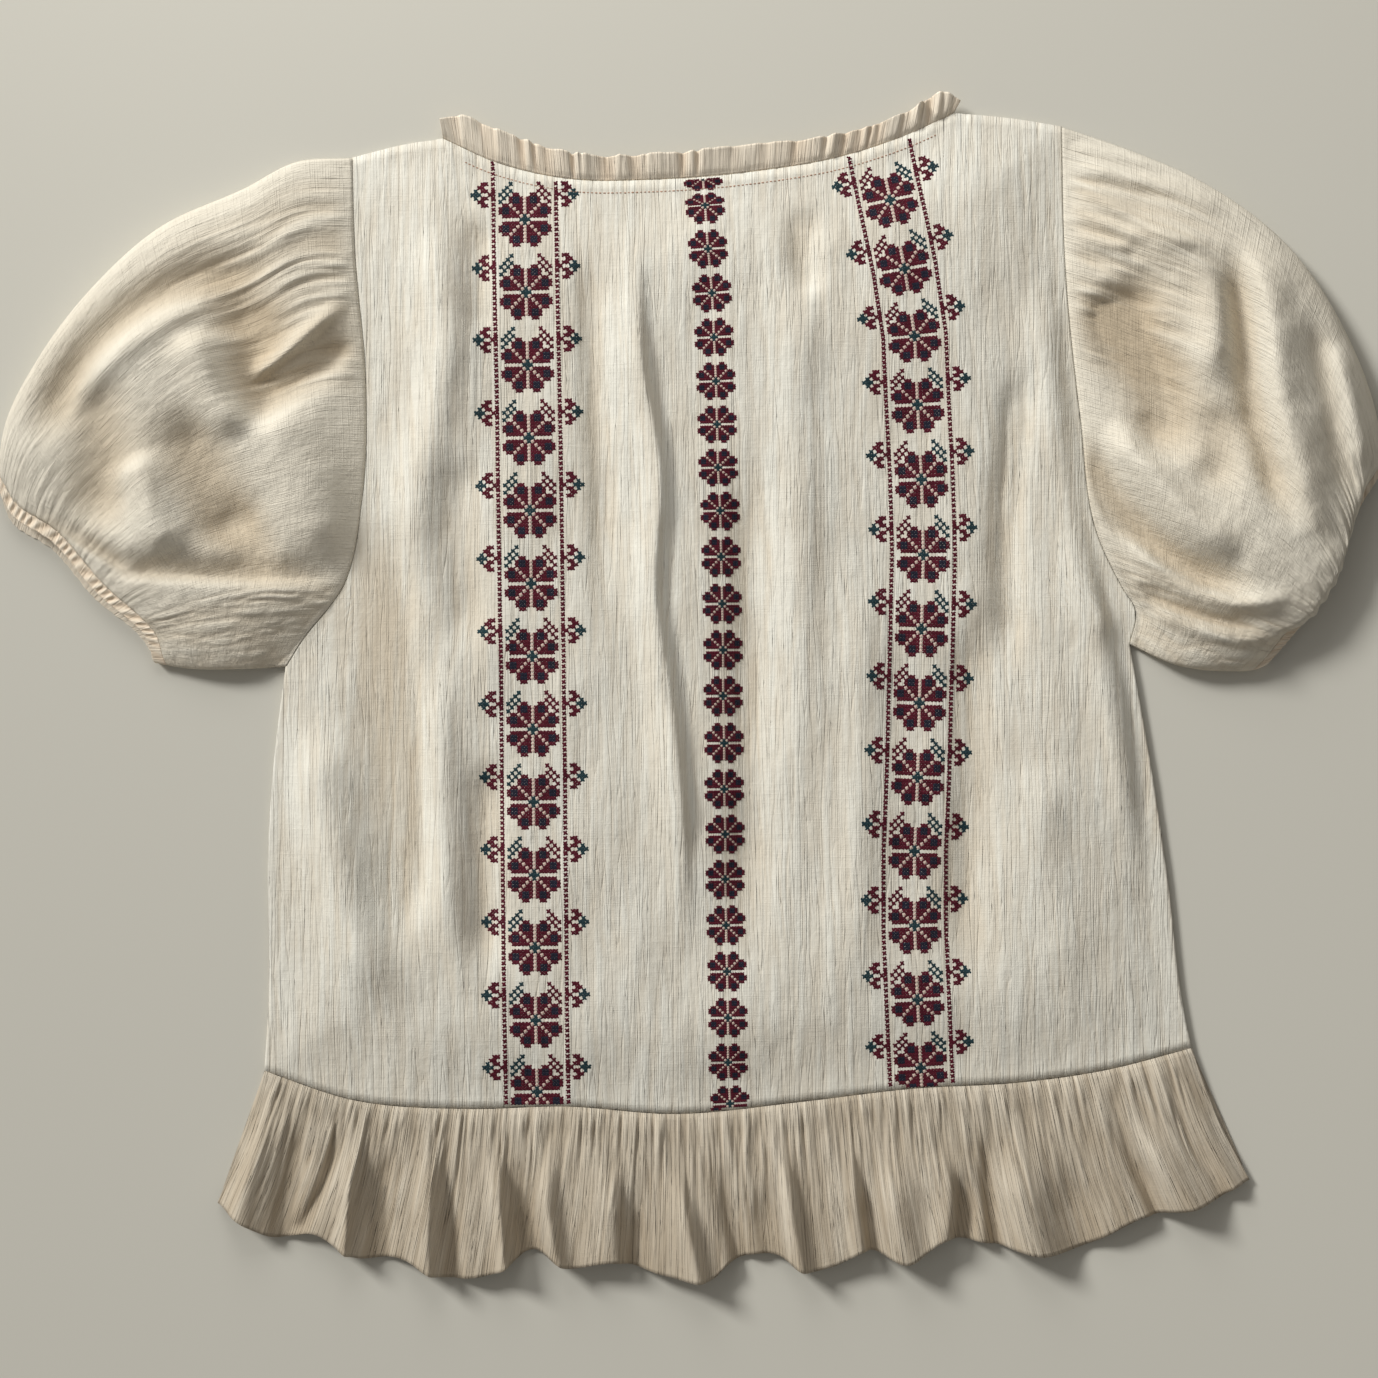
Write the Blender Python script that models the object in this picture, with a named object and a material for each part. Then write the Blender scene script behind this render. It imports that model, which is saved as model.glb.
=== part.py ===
"""A puff-sleeved peasant top laid flat on its front, with its back uppermost.

Every cut piece of cloth is one closed wall. Sizes are in millimetres and become metres
in the meshes. X runs across the garment, Y from the hem to the neck and Z up from the
surface that the garment lies on.
"""

import math
from collections import namedtuple

import bpy
import numpy as np

METRES = 0.001

# Driving dimensions of the cloth
WALL = 1.5
SEAM_GAP = 0.3
SEAM_CLEARANCE = 0.4
LAYER = WALL + SEAM_GAP
FLAT_TUBE = 2 * WALL + 2 * SEAM_GAP

# Driving dimensions of the body panels
PANEL_CROWN = 2.2
PANEL_CROWN_REACH = 45.0
PANEL_FOLD_REACH = 24.0
SIDE_ROWS = 9

# Driving dimensions of the sleeves
PUFF_HEIGHT = 25.0
PUFF_FALL = 0.42
SLEEVE_EDGE_HEIGHT = 8.0
ARMHOLE_GATHERS = 10
ARMHOLE_GATHER_HEIGHT = 2.4
ARMHOLE_GATHERS_FROM = 0.045
ARMHOLE_GATHERS_TO = 0.40
ARMHOLE_PLAIN_ROWS = 10

# Driving dimensions of the cuffs
CUFF_WIDTH = 8.0
CUFF_HEIGHT = 10.0
CUFF_EDGE_HEIGHT = 4.6
CUFF_GATHERS = 13
CUFF_PUCKER_HEIGHT = 0.7
CUFF_PUCKER_DEPTH = 0.5
RIGHT_LIP_SCALLOPS = 12

# Driving dimensions of the ruffles: waves rise from a height at the seam to one at the free edge
HEM_WAVES_BACK = 34
HEM_WAVES_FRONT = 22
HEM_WAVE_SEAM = 1.0
HEM_WAVE_FREE = 4.6
HEM_LOBES = 11
HEM_LOBE_HEIGHT = 3.2
HEM_FRONT_SHORTER = 7.0
HEM_FRONT_SCALLOP = 1.6
NECK_WAVES_BACK = 30
NECK_WAVES_FRONT = 20
NECK_WAVE_SEAM = 0.6
NECK_WAVE_FREE = 3.0
NECK_SCALLOP = 0.9
NECK_RUFFLE_DEPTH = 16.0

# Armholes run from the shoulder tip to the underarm, sides from there to the hem seam.
ARMHOLE_LEFT = ((-188.7, 296.8), (-187.0, 240.2), (-181.4, 177.5), (-183.1, 105.8),
                (-193.2, 57.7), (-217.8, 24.6), (-226.2, 11.2))
SIDE_LEFT = ((-226.2, 11.2), (-232.4, -38.6), (-235.8, -89.0), (-235.4, -169.0),
             (-238.0, -215.0))
ARMHOLE_RIGHT = ((208.9, 314.2), (210.6, 240.2), (219.2, 151.8), (229.0, 85.1),
                 (243.6, 54.3), (250.3, 43.1), (247.0, 23.5))
SIDE_RIGHT = ((247.0, 23.5), (255.4, -23.0), (268.2, -105.8), (277.8, -183.7),
              (281.7, -202.2))

# Shoulder seams run from the armhole to the neck, the necklines between them.
SHOULDER_LEFT = ((-188.7, 296.8), (-158.5, 304.3), (-138.0, 307.4))
SHOULDER_RIGHT = ((148.6, 321.8), (182.0, 318.6), (208.9, 314.2))
NECK_BACK = ((-138.0, 307.4), (-108.1, 294.0), (-65.5, 284.5), (-22.4, 284.2),
             (41.4, 289.5), (84.6, 297.1), (123.2, 309.9), (148.6, 321.8))
NECK_FRONT = ((-138.0, 307.4), (-112.0, 268.0), (-60.0, 240.0), (4.0, 231.0),
              (68.0, 243.0), (122.0, 276.0), (148.6, 321.8))
HEM_SEAM = ((-238.0, -215.0), (-188.2, -231.3), (-123.8, -236.3), (-70.6, -234.9),
            (-6.2, -239.1), (62.2, -232.4), (123.8, -225.1), (188.2, -221.2),
            (231.3, -215.0), (281.7, -202.2))

# Free edge of the neck ruffle at the back.
NECK_FREE_EDGE = ((-139.5, 318.0), (-131.0, 320.0), (-106.4, 311.9), (-67.8, 299.5),
                  (-11.8, 299.2), (39.8, 304.6), (82.3, 309.6), (125.4, 324.0),
                  (142.0, 333.0), (152.5, 329.0))

# Free edge of the hem ruffle, lobe by lobe, and its two ends.
HEM_FREE_EDGE = ((-264.3, -289.0), (-247.5, -301.3), (-232.4, -308.0), (-210.6, -305.8),
                 (-188.2, -318.6), (-160.0, -320.3), (-142.0, -329.3), (-104.7, -326.0),
                 (-88.0, -315.2), (-68.0, -324.5), (-42.6, -321.4), (-12.3, -329.3),
                 (12.0, -331.5), (24.0, -321.5), (49.8, -318.1), (64.0, -326.5),
                 (81.2, -323.7), (100.2, -315.2), (122.1, -322.0), (144.0, -309.2),
                 (171.4, -311.9), (198.8, -317.5), (224.6, -311.4), (252.6, -297.4),
                 (286.7, -290.1), (314.2, -276.0))
HEM_END_LEFT = ((-238.0, -215.0), (-249.2, -252.6), (-264.3, -289.0))
HEM_END_RIGHT = ((281.7, -202.2), (298.5, -246.4), (314.2, -276.0))

# Outlines of the sleeves: the edge from the shoulder, the edge from the underarm and the
# edge at the cuff between them.
SLEEVE_LEFT_UPPER = ((-188.7, 296.8), (-219.5, 294.6), (-248.6, 279.4), (-296.8, 256.5),
                     (-332.1, 225.1), (-362.9, 185.9), (-382.5, 148.4), (-388.2, 114.0))
SLEEVE_LEFT_LOWER = ((-226.2, 11.2), (-250.9, 10.0), (-282.8, 10.6), (-299.5, 13.6))
SLEEVE_LEFT_CUFF = ((-388.2, 114.0), (-380.0, 91.8), (-358.4, 77.5), (-334.3, 49.8),
                    (-305.5, 24.5), (-299.5, 13.6))
SLEEVE_RIGHT_UPPER = ((208.9, 314.2), (245.8, 301.3), (287.8, 282.2), (336.6, 244.7),
                      (367.4, 198.2), (385.3, 149.5), (388.0, 130.0), (385.8, 114.2))
SLEEVE_RIGHT_LOWER = ((247.0, 23.5), (272.2, 12.4), (301.3, 8.8), (318.0, 10.0),
                      (327.6, 14.6))
SLEEVE_RIGHT_CUFF = ((385.8, 114.2), (371.8, 91.8), (361.2, 58.8), (346.0, 36.0),
                     (327.6, 14.6))

# Lengths over which the distance kept back from the outline at the cuff is measured, and
# where the rings of a sleeve lie between the armhole and the cuff.
UPPER_EDGE_RUN = 300.0
LOWER_EDGE_RUN = 80.0
SLEEVE_SHARES = np.array([0.0, 0.04, 0.11, 0.21, 0.32, 0.44, 0.56, 0.68, 0.79, 0.89, 1.0])

# A fold is a soft ridge, or a trough where its rise is negative, along a curve in plan.
Fold = namedtuple("Fold", "start middle end half_width rise")
PANEL_FOLDS = (
    Fold((-35.0, 278.0), (-37.5, 116.0), (-34.0, -60.0), 12.0, 4.6),
    Fold((-8.0, 270.0), (-8.0, 110.0), (-5.0, -60.0), 13.0, -1.8),
    Fold((-56.0, 268.0), (-56.0, 100.0), (-53.0, -20.0), 8.0, -1.8),
    Fold((44.0, 276.0), (48.0, 225.0), (46.0, 170.0), 10.0, 3.4),
    Fold((-118.0, 190.0), (-130.0, 100.0), (-138.0, 20.0), 17.0, 4.2),
    Fold((-214.0, -4.0), (-184.0, -84.0), (-150.0, -186.0), 16.0, 3.6),
    Fold((-206.0, 30.0), (-160.0, -20.0), (-120.0, -120.0), 15.0, 2.6),
    Fold((238.0, 20.0), (240.0, -50.0), (246.0, -130.0), 12.0, 3.2),
    Fold((70.0, 210.0), (78.0, 40.0), (84.0, -150.0), 18.0, 3.0),
    Fold((176.0, 250.0), (186.0, 90.0), (200.0, -90.0), 20.0, 3.0),
    Fold((-176.0, 240.0), (-160.0, 180.0), (-158.0, 110.0), 14.0, 2.6),
)
LEFT_SLEEVE_FOLDS = (
    Fold((-200.0, 258.0), (-276.0, 228.0), (-352.0, 160.0), 15.0, -4.5),
    Fold((-184.0, 217.0), (-214.0, 194.0), (-248.0, 168.0), 13.0, 5.0),
    Fold((-286.0, 212.0), (-268.0, 170.0), (-250.0, 128.0), 17.0, 4.5),
    Fold((-252.0, 214.0), (-246.0, 200.0), (-238.0, 186.0), 13.0, -4.0),
    Fold((-338.0, 146.0), (-346.0, 124.0), (-354.0, 104.0), 11.0, -4.0),
    Fold((-270.0, 132.0), (-262.0, 112.0), (-256.0, 92.0), 13.0, -4.0),
    Fold((-312.0, 62.0), (-262.0, 60.0), (-200.0, 61.0), 9.0, -5.5),
)
RIGHT_SLEEVE_FOLDS = (
    Fold((216.0, 244.0), (247.0, 150.0), (270.0, 70.0), 15.0, -5.0),
    Fold((222.0, 144.0), (252.0, 94.0), (308.0, 60.0), 14.0, 5.0),
    Fold((316.0, 240.0), (322.0, 180.0), (356.0, 92.0), 12.0, 5.0),
    Fold((342.0, 228.0), (360.0, 150.0), (370.0, 96.0), 10.0, -4.0),
    Fold((228.0, 106.0), (290.0, 66.0), (340.0, 38.0), 12.0, -4.0),
    Fold((242.0, 54.0), (290.0, 40.0), (326.0, 26.0), 9.0, 3.0),
)

# Rings past the end of a puff that overhangs its cuff, each with its distance back from the
# outline on the layer that shows and on the hidden one, its height and its scallops' depth.
LipRing = namedtuple("LipRing", "shown_back hidden_back height scallop")
RIGHT_LIP = (
    LipRing(0.8, 17.0, 15.4, 1.3),
    LipRing(3.0, 15.5, 13.2, 1.0),
    LipRing(9.5, 13.7, 12.5, 0.0),
    LipRing(12.0, 12.0, 10.6, 0.0),
)

Sleeve = namedtuple("Sleeve", "side armhole upper_edge lower_edge cuff_edge folds lip turn end_height "
                              "shown_back hidden_back band_shown_back band_hidden_back")
LEFT_SLEEVE = Sleeve(
    side=-1, armhole=ARMHOLE_LEFT, upper_edge=SLEEVE_LEFT_UPPER, lower_edge=SLEEVE_LEFT_LOWER,
    cuff_edge=SLEEVE_LEFT_CUFF, folds=LEFT_SLEEVE_FOLDS, lip=(), turn=(0.0, 0.14),
    end_height=CUFF_HEIGHT, shown_back=13.0, hidden_back=8.0, band_shown_back=13.0, band_hidden_back=8.0)
RIGHT_SLEEVE = Sleeve(
    side=1, armhole=ARMHOLE_RIGHT, upper_edge=SLEEVE_RIGHT_UPPER, lower_edge=SLEEVE_RIGHT_LOWER,
    cuff_edge=SLEEVE_RIGHT_CUFF, folds=RIGHT_SLEEVE_FOLDS, lip=RIGHT_LIP, turn=(0.09, 0.28),
    end_height=18.5, shown_back=5.0, hidden_back=20.0, band_shown_back=12.0, band_hidden_back=12.0)

Paint = namedtuple("Paint", "colour roughness metallic")
GAUZE = Paint((0.80, 0.72, 0.57), 0.92, 0.0)
RUFFLE_GAUZE = Paint((0.78, 0.69, 0.54), 0.92, 0.0)


def smooth_line(points, steps=16):
    """Points of a smooth curve that passes through every given point."""
    given = np.array(points, dtype=float)
    knots = np.concatenate([[0.0], np.cumsum(np.linalg.norm(np.diff(given, axis=0), axis=1))])
    slopes = np.gradient(given, knots, axis=0)
    line = []
    for k in range(len(given) - 1):
        f = np.linspace(0.0, 1.0, steps, endpoint=False)[:, None]
        span = knots[k + 1] - knots[k]
        line.append((2 * f**3 - 3 * f**2 + 1) * given[k] + (f**3 - 2 * f**2 + f) * span * slopes[k]
                    + (3 * f**2 - 2 * f**3) * given[k + 1] + (f**3 - f**2) * span * slopes[k + 1])
    return np.vstack(line + [given[-1:]])


def along(line, fractions):
    """Points at the given fractions of a line's length."""
    run = np.concatenate([[0.0], np.cumsum(np.linalg.norm(np.diff(line, axis=0), axis=1))])
    places = np.asarray(fractions) * run[-1]
    return np.stack([np.interp(places, run, line[:, k]) for k in range(2)], axis=1)


def patch(first, last, start, end, across, down):
    """Plan grid between four edges: rows go from first to last, columns from start to end."""
    u = np.asarray(across)[None, :, None]
    v = np.asarray(down)[:, None, None]
    ruled = (1 - v) * first[None] + v * last[None] + (1 - u) * start[:, None] + u * end[:, None]
    corners = ((1 - u) * (1 - v) * first[0] + u * (1 - v) * first[-1]
               + (1 - u) * v * last[0] + u * v * last[-1])
    return ruled - corners


def ease(low, high, value):
    """Smooth step from 0 at low to 1 at high."""
    f = np.clip((value - low) / (high - low), 0.0, 1.0)
    return f * f * (3 - 2 * f)


def fold_height(plan, folds, samples=14):
    """Height that the folds add at each plan point, fading out at their ends."""
    total = np.zeros(plan.shape[:-1])
    for fold in folds:
        start, middle, end = (np.array(p) for p in (fold.start, fold.middle, fold.end))
        control = 2 * middle - (start + end) / 2
        f = np.linspace(0.0, 1.0, samples)[:, None]
        route = (1 - f) ** 2 * start + 2 * f * (1 - f) * control + f**2 * end
        nearest = np.full(plan.shape[:-1], np.inf)
        place = np.zeros(plan.shape[:-1])
        for k in range(samples - 1):
            step = route[k + 1] - route[k]
            g = np.clip(((plan - route[k]) @ step) / (step @ step), 0.0, 1.0)
            distance = np.linalg.norm(plan - route[k] - g[..., None] * step, axis=-1)
            closer = distance < nearest
            nearest = np.where(closer, distance, nearest)
            place = np.where(closer, (k + g) / (samples - 1), place)
        fade = ease(0.0, 0.25, place) * ease(0.0, 0.25, 1 - place)
        total += fold.rise * np.exp(-(nearest / fold.half_width) ** 2) * fade
    return total


def make_material(name, paint):
    material = bpy.data.materials.new(name)
    material.use_nodes = True
    shader = material.node_tree.nodes["Principled BSDF"]
    shader.inputs["Base Color"].default_value = (*paint.colour, 1.0)
    shader.inputs["Roughness"].default_value = paint.roughness
    shader.inputs["Metallic"].default_value = paint.metallic
    return material


def make_object(name, points, faces, paint):
    mesh = bpy.data.meshes.new(name)
    mesh.from_pydata((np.asarray(points) * METRES).tolist(), [], faces)
    mesh.shade_smooth()
    mesh.set_sharp_from_angle(angle=math.radians(50))
    mesh.materials.append(make_material(name, paint))
    piece = bpy.data.objects.new(name, mesh)
    bpy.context.scene.collection.objects.link(piece)
    return piece


def sheet_wall(name, over, under, paint):
    """A closed wall between two grids of points whose rows and columns match."""
    rows, columns = over.shape[:2]
    size = rows * columns
    faces = []
    for r in range(rows - 1):
        for c in range(columns - 1):
            a = r * columns + c
            b = a + columns
            faces.append((a, b, b + 1, a + 1))
            faces.append((size + a, size + a + 1, size + b + 1, size + b))
    edge = [c for c in range(columns)]
    edge += [r * columns + columns - 1 for r in range(1, rows)]
    edge += [(rows - 1) * columns + c for c in range(columns - 2, -1, -1)]
    edge += [r * columns for r in range(rows - 2, 0, -1)]
    for a, b in zip(edge, edge[1:] + edge[:1]):
        faces.append((a, b, size + b, size + a))
    points = np.vstack([over.reshape(-1, 3), under.reshape(-1, 3)])
    return make_object(name, points, faces, paint)


def tube_wall(name, outer, inner, paint):
    """A closed wall of a tube that is open at both ends, from rings of matching points."""
    rings, count = outer.shape[:2]
    size = rings * count
    faces = []
    for r in range(rings - 1):
        for c in range(count):
            a = r * count + c
            b = r * count + (c + 1) % count
            faces.append((a, a + count, b + count, b))
            faces.append((size + a, size + b, size + b + count, size + a + count))
    for c in range(count):
        a, b = c, (c + 1) % count
        faces.append((a, b, size + b, size + a))
        a, b = a + size - count, b + size - count
        faces.append((a, size + a, size + b, b))
    points = np.vstack([outer.reshape(-1, 3), inner.reshape(-1, 3)])
    return make_object(name, points, faces, paint)


def armhole_places():
    """Shares of the armhole's length: two for each gather on its upper part, then evenly."""
    gathered = np.linspace(ARMHOLE_GATHERS_FROM, ARMHOLE_GATHERS_TO, 2 * ARMHOLE_GATHERS + 1)
    plain = np.linspace(ARMHOLE_GATHERS_TO, 0.965, 2 * ARMHOLE_PLAIN_ROWS + 1)[1:]
    return gathered, plain


def armhole_rows():
    """Shares of the armhole's length at which a body panel has its rows."""
    gathered, plain = armhole_places()
    return np.concatenate([[0.0], gathered[::5], plain[1::2], [1.0]])


def panel_rows():
    """Left and right edge points of a body panel, row by row, and how far down each lies."""
    arm = armhole_rows()
    side = np.linspace(0.0, 1.0, SIDE_ROWS + 1)[1:]
    left = np.vstack([along(smooth_line(ARMHOLE_LEFT), arm), along(smooth_line(SIDE_LEFT), side)])
    right = np.vstack([along(smooth_line(ARMHOLE_RIGHT), arm), along(smooth_line(SIDE_RIGHT), side)])
    run = np.concatenate([[0.0], np.cumsum(np.linalg.norm(np.diff(left, axis=0), axis=1))])
    return left, right, run / run[-1]


Panel = namedtuple("Panel", "neck shoulder_columns neck_columns")
BACK = Panel(NECK_BACK, 4, 22)
FRONT = Panel(NECK_FRONT, 3, 12)


def panel_plan(panel):
    """Plan grid of a body panel, whose rows run from its neck to its hem."""
    left, right, down = panel_rows()
    shoulder = np.linspace(0.0, 1.0, panel.shoulder_columns)
    neck = np.linspace(0.0, 1.0, panel.neck_columns)
    first = np.vstack([along(smooth_line(SHOULDER_LEFT), shoulder),
                       along(smooth_line(panel.neck), neck)[1:-1],
                       along(smooth_line(SHOULDER_RIGHT), shoulder)])
    run = np.concatenate([[0.0], np.cumsum(np.abs(np.diff(first[:, 0])))])
    across = run / run[-1]
    last = along(smooth_line(HEM_SEAM), across)
    return patch(first, last, left, right, across, down)


def neckline(panel):
    """Points of a panel's neckline, from shoulder to shoulder."""
    first = panel_plan(panel)[0]
    return first[panel.shoulder_columns - 1:len(first) - panel.shoulder_columns + 1]


def seam_places(edge, wanted):
    """Shares of an edge's length for a strip sewn to it: all of the edge's own points, and
    the wanted ones that lie clear of them."""
    run = np.concatenate([[0.0], np.cumsum(np.linalg.norm(np.diff(edge, axis=0), axis=1))])
    own = run / run[-1]
    clear = np.abs(wanted[:, None] - own[None]).min(axis=1) > 0.25 / len(wanted)
    return np.sort(np.concatenate([own, wanted[clear]]))


def edge_fade(plan, reach):
    """0 on the border of a plan grid, rising to 1 at the given distance inside it."""
    border = np.vstack([plan[0], plan[-1], plan[:, 0], plan[:, -1]])
    gap = np.linalg.norm(plan[:, :, None, :] - border[None, None], axis=-1).min(axis=2)
    return ease(0.0, reach, gap)


def raise_plan(plan, height):
    return np.concatenate([plan, np.broadcast_to(height, plan.shape[:2])[..., None]], axis=-1)


def make_back_panel():
    plan = panel_plan(BACK)
    lift = PANEL_CROWN * edge_fade(plan, PANEL_CROWN_REACH)
    lift = lift + fold_height(plan, PANEL_FOLDS) * edge_fade(plan, PANEL_FOLD_REACH)
    under = LAYER + np.maximum(lift, 0.0)
    sheet_wall("back_panel", raise_plan(plan, under + WALL), raise_plan(plan, under), GAUZE)


def make_front_panel():
    plan = panel_plan(FRONT)
    sheet_wall("front_panel", raise_plan(plan, WALL), raise_plan(plan, 0.0), GAUZE)


def uneven(fraction, waves, sway):
    """Phase of a row of waves whose spacing drifts a little along the row."""
    drift = np.sin(2 * np.pi * 3.3 * fraction + 0.7) + 0.7 * np.sin(2 * np.pi * 7.1 * fraction + 2.0)
    return 2 * np.pi * (waves * fraction + sway * drift * np.sin(np.pi * fraction))


def shifted(line, distance):
    """A line moved sideways, to its left as it runs."""
    step = np.gradient(line, axis=0)
    side = np.stack([-step[:, 1], step[:, 0]], axis=1)
    return line + distance * side / np.linalg.norm(side, axis=1, keepdims=True)


def make_hem_ruffles():
    """Two gathered strips under the hem seam: the back one in waves, the front one flat."""
    edge = panel_plan(BACK)[-1]
    u = seam_places(edge, np.linspace(0.0, 1.0, 4 * HEM_WAVES_BACK + 1))
    down = np.array([0.0, 0.22, 0.62, 1.0])
    seam = along(shifted(edge, -SEAM_CLEARANCE), u)
    free = along(smooth_line(HEM_FREE_EDGE), u)
    start = along(smooth_line(HEM_END_LEFT), down)
    end = along(smooth_line(HEM_END_RIGHT), down)
    start[0], end[0] = seam[0], seam[-1]
    plan = patch(seam, free, start, end, u, down)
    wave = 0.5 - 0.5 * np.cos(uneven(u, HEM_WAVES_BACK, 0.35))
    lobe = 0.5 + 0.5 * np.sin(uneven(u, HEM_LOBES, 0.3))
    calm = ease(0.0, 0.02, u) * ease(0.0, 0.02, 1 - u)
    v = down[:, None]
    depth = HEM_WAVE_SEAM + (HEM_WAVE_FREE - HEM_WAVE_SEAM) * v
    under = LAYER + calm * (depth * wave + HEM_LOBE_HEIGHT * v * lobe)
    under[0] = LAYER
    sheet_wall("hem_ruffle_back", raise_plan(plan, under + WALL), raise_plan(plan, under),
               RUFFLE_GAUZE)

    edge = panel_plan(FRONT)[-1]
    u = seam_places(edge, np.linspace(0.0, 1.0, 2 * HEM_WAVES_FRONT + 1))
    seam = along(shifted(edge, -SEAM_CLEARANCE), u)
    reach = np.linspace(0.0, 1.0, 3)
    free = along(smooth_line(HEM_FREE_EDGE), u)
    inward = seam - free
    scallop = HEM_FRONT_SHORTER + HEM_FRONT_SCALLOP * np.cos(2 * np.pi * HEM_WAVES_FRONT * u)
    free = free + inward / np.linalg.norm(inward, axis=1, keepdims=True) * scallop[:, None]
    plan = seam[None] + reach[:, None, None] * (free - seam)[None]
    sheet_wall("hem_ruffle_front", raise_plan(plan, WALL), raise_plan(plan, 0.0), RUFFLE_GAUZE)


def make_neck_ruffles():
    """Two gathered strips at the neckline: the back one in flutes, the front one flat."""
    edge = neckline(BACK)
    u = seam_places(edge, np.linspace(0.0, 1.0, 4 * NECK_WAVES_BACK + 1))
    seam = along(shifted(edge, SEAM_CLEARANCE), u)
    free = along(smooth_line(NECK_FREE_EDGE), u)
    flute = np.cos(uneven(u, NECK_WAVES_BACK, 0.3))
    outward = (free - seam) / np.linalg.norm(free - seam, axis=1, keepdims=True)
    free = free + NECK_SCALLOP * flute[:, None] * outward
    reach = np.array([0.0, 0.4, 1.0])
    plan = seam[None] + reach[:, None, None] * (free - seam)[None]
    depth = NECK_WAVE_SEAM + (NECK_WAVE_FREE - NECK_WAVE_SEAM) * reach[:, None]
    under = LAYER + depth * (0.5 - 0.5 * flute[None])
    under[0] = LAYER
    plan, under = plan[::-1], under[::-1]
    sheet_wall("neck_ruffle_back", raise_plan(plan, under + WALL), raise_plan(plan, under),
               RUFFLE_GAUZE)

    edge = neckline(FRONT)
    u = seam_places(edge, np.linspace(0.0, 1.0, 2 * NECK_WAVES_FRONT + 1))
    seam = along(shifted(edge, SEAM_CLEARANCE), u)
    free = along(shifted(smooth_line(NECK_FRONT), NECK_RUFFLE_DEPTH), u)
    scallop = 1.0 + 0.05 * np.cos(2 * np.pi * NECK_WAVES_FRONT * u)
    free = seam + scallop[:, None] * (free - seam)
    plan = np.stack([free, (seam + free) / 2, seam])
    sheet_wall("neck_ruffle_front", raise_plan(plan, WALL), raise_plan(plan, 0.0), RUFFLE_GAUZE)


def ring_places(every=1):
    """Around a sleeve's ring: the share of the way from its upper to its lower edge, and
    whether each point is on the layer that shows. Of the gathers' points, one in so many."""
    gathered, plain = armhole_places()
    shown = np.concatenate([[0.0, 0.012], gathered[::every], plain, [0.988, 1.0]])
    hidden = np.concatenate([[0.985], armhole_rows()[-2:0:-1], [0.015]])
    return np.concatenate([shown, hidden]), np.arange(len(shown) + len(hidden)) < len(shown)


def sleeve_plan(sleeve, across, back, share):
    """Plan points of a sleeve: a share of the way from the armhole to the distance that the
    point keeps back from the sleeve's outline at the cuff."""
    rows = armhole_rows()
    armhole = shifted(along(smooth_line(sleeve.armhole), rows), sleeve.side * SEAM_CLEARANCE)
    upper, lower = smooth_line(sleeve.upper_edge), smooth_line(sleeve.lower_edge)
    cuff = smooth_line(sleeve.cuff_edge)
    spread = (1 - across) * UPPER_EDGE_RUN + across * LOWER_EDGE_RUN
    down = share * (1 - back / spread)
    u, v = across[..., None], down[..., None]
    seam = np.stack([np.interp(across, rows, armhole[:, k]) for k in range(2)], axis=-1)
    brim = along(cuff, across.ravel()).reshape(seam.shape)
    top = along(upper, down.ravel()).reshape(seam.shape)
    base = along(lower, down.ravel()).reshape(seam.shape)
    corners = ((1 - u) * (1 - v) * upper[0] + u * (1 - v) * lower[0]
               + (1 - u) * v * upper[-1] + u * v * lower[-1])
    return (1 - v) * seam + v * brim + (1 - u) * top + u * base - corners


def tube_from_rings(name, outer, side, flush_ends, paint):
    """A tube's wall from its outer rings, which run the same way round on either side. The
    wall's flush ends stay within the seams that they meet."""
    if side > 0:
        outer = outer[:, ::-1]
    around = np.roll(outer, -1, axis=1) - np.roll(outer, 1, axis=1)
    lengthwise = np.gradient(outer, axis=0)
    outward = np.cross(lengthwise, around)
    for end in flush_ends:
        seam_side = np.cross(around[end] * (1, 1, 0), (0.0, 0.0, 1.0))
        seam_side /= np.linalg.norm(seam_side, axis=-1, keepdims=True)
        outward[end] -= np.sum(outward[end] * seam_side, axis=-1, keepdims=True) * seam_side
    outward /= np.linalg.norm(outward, axis=-1, keepdims=True)
    tube_wall(name, outer, outer - WALL * outward, paint)


def roundness(across):
    """How far a ring has risen from its edges, 0 at an edge and 1 in the middle."""
    return np.sqrt(1 - np.abs(2 * across - 1) ** 4)


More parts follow.
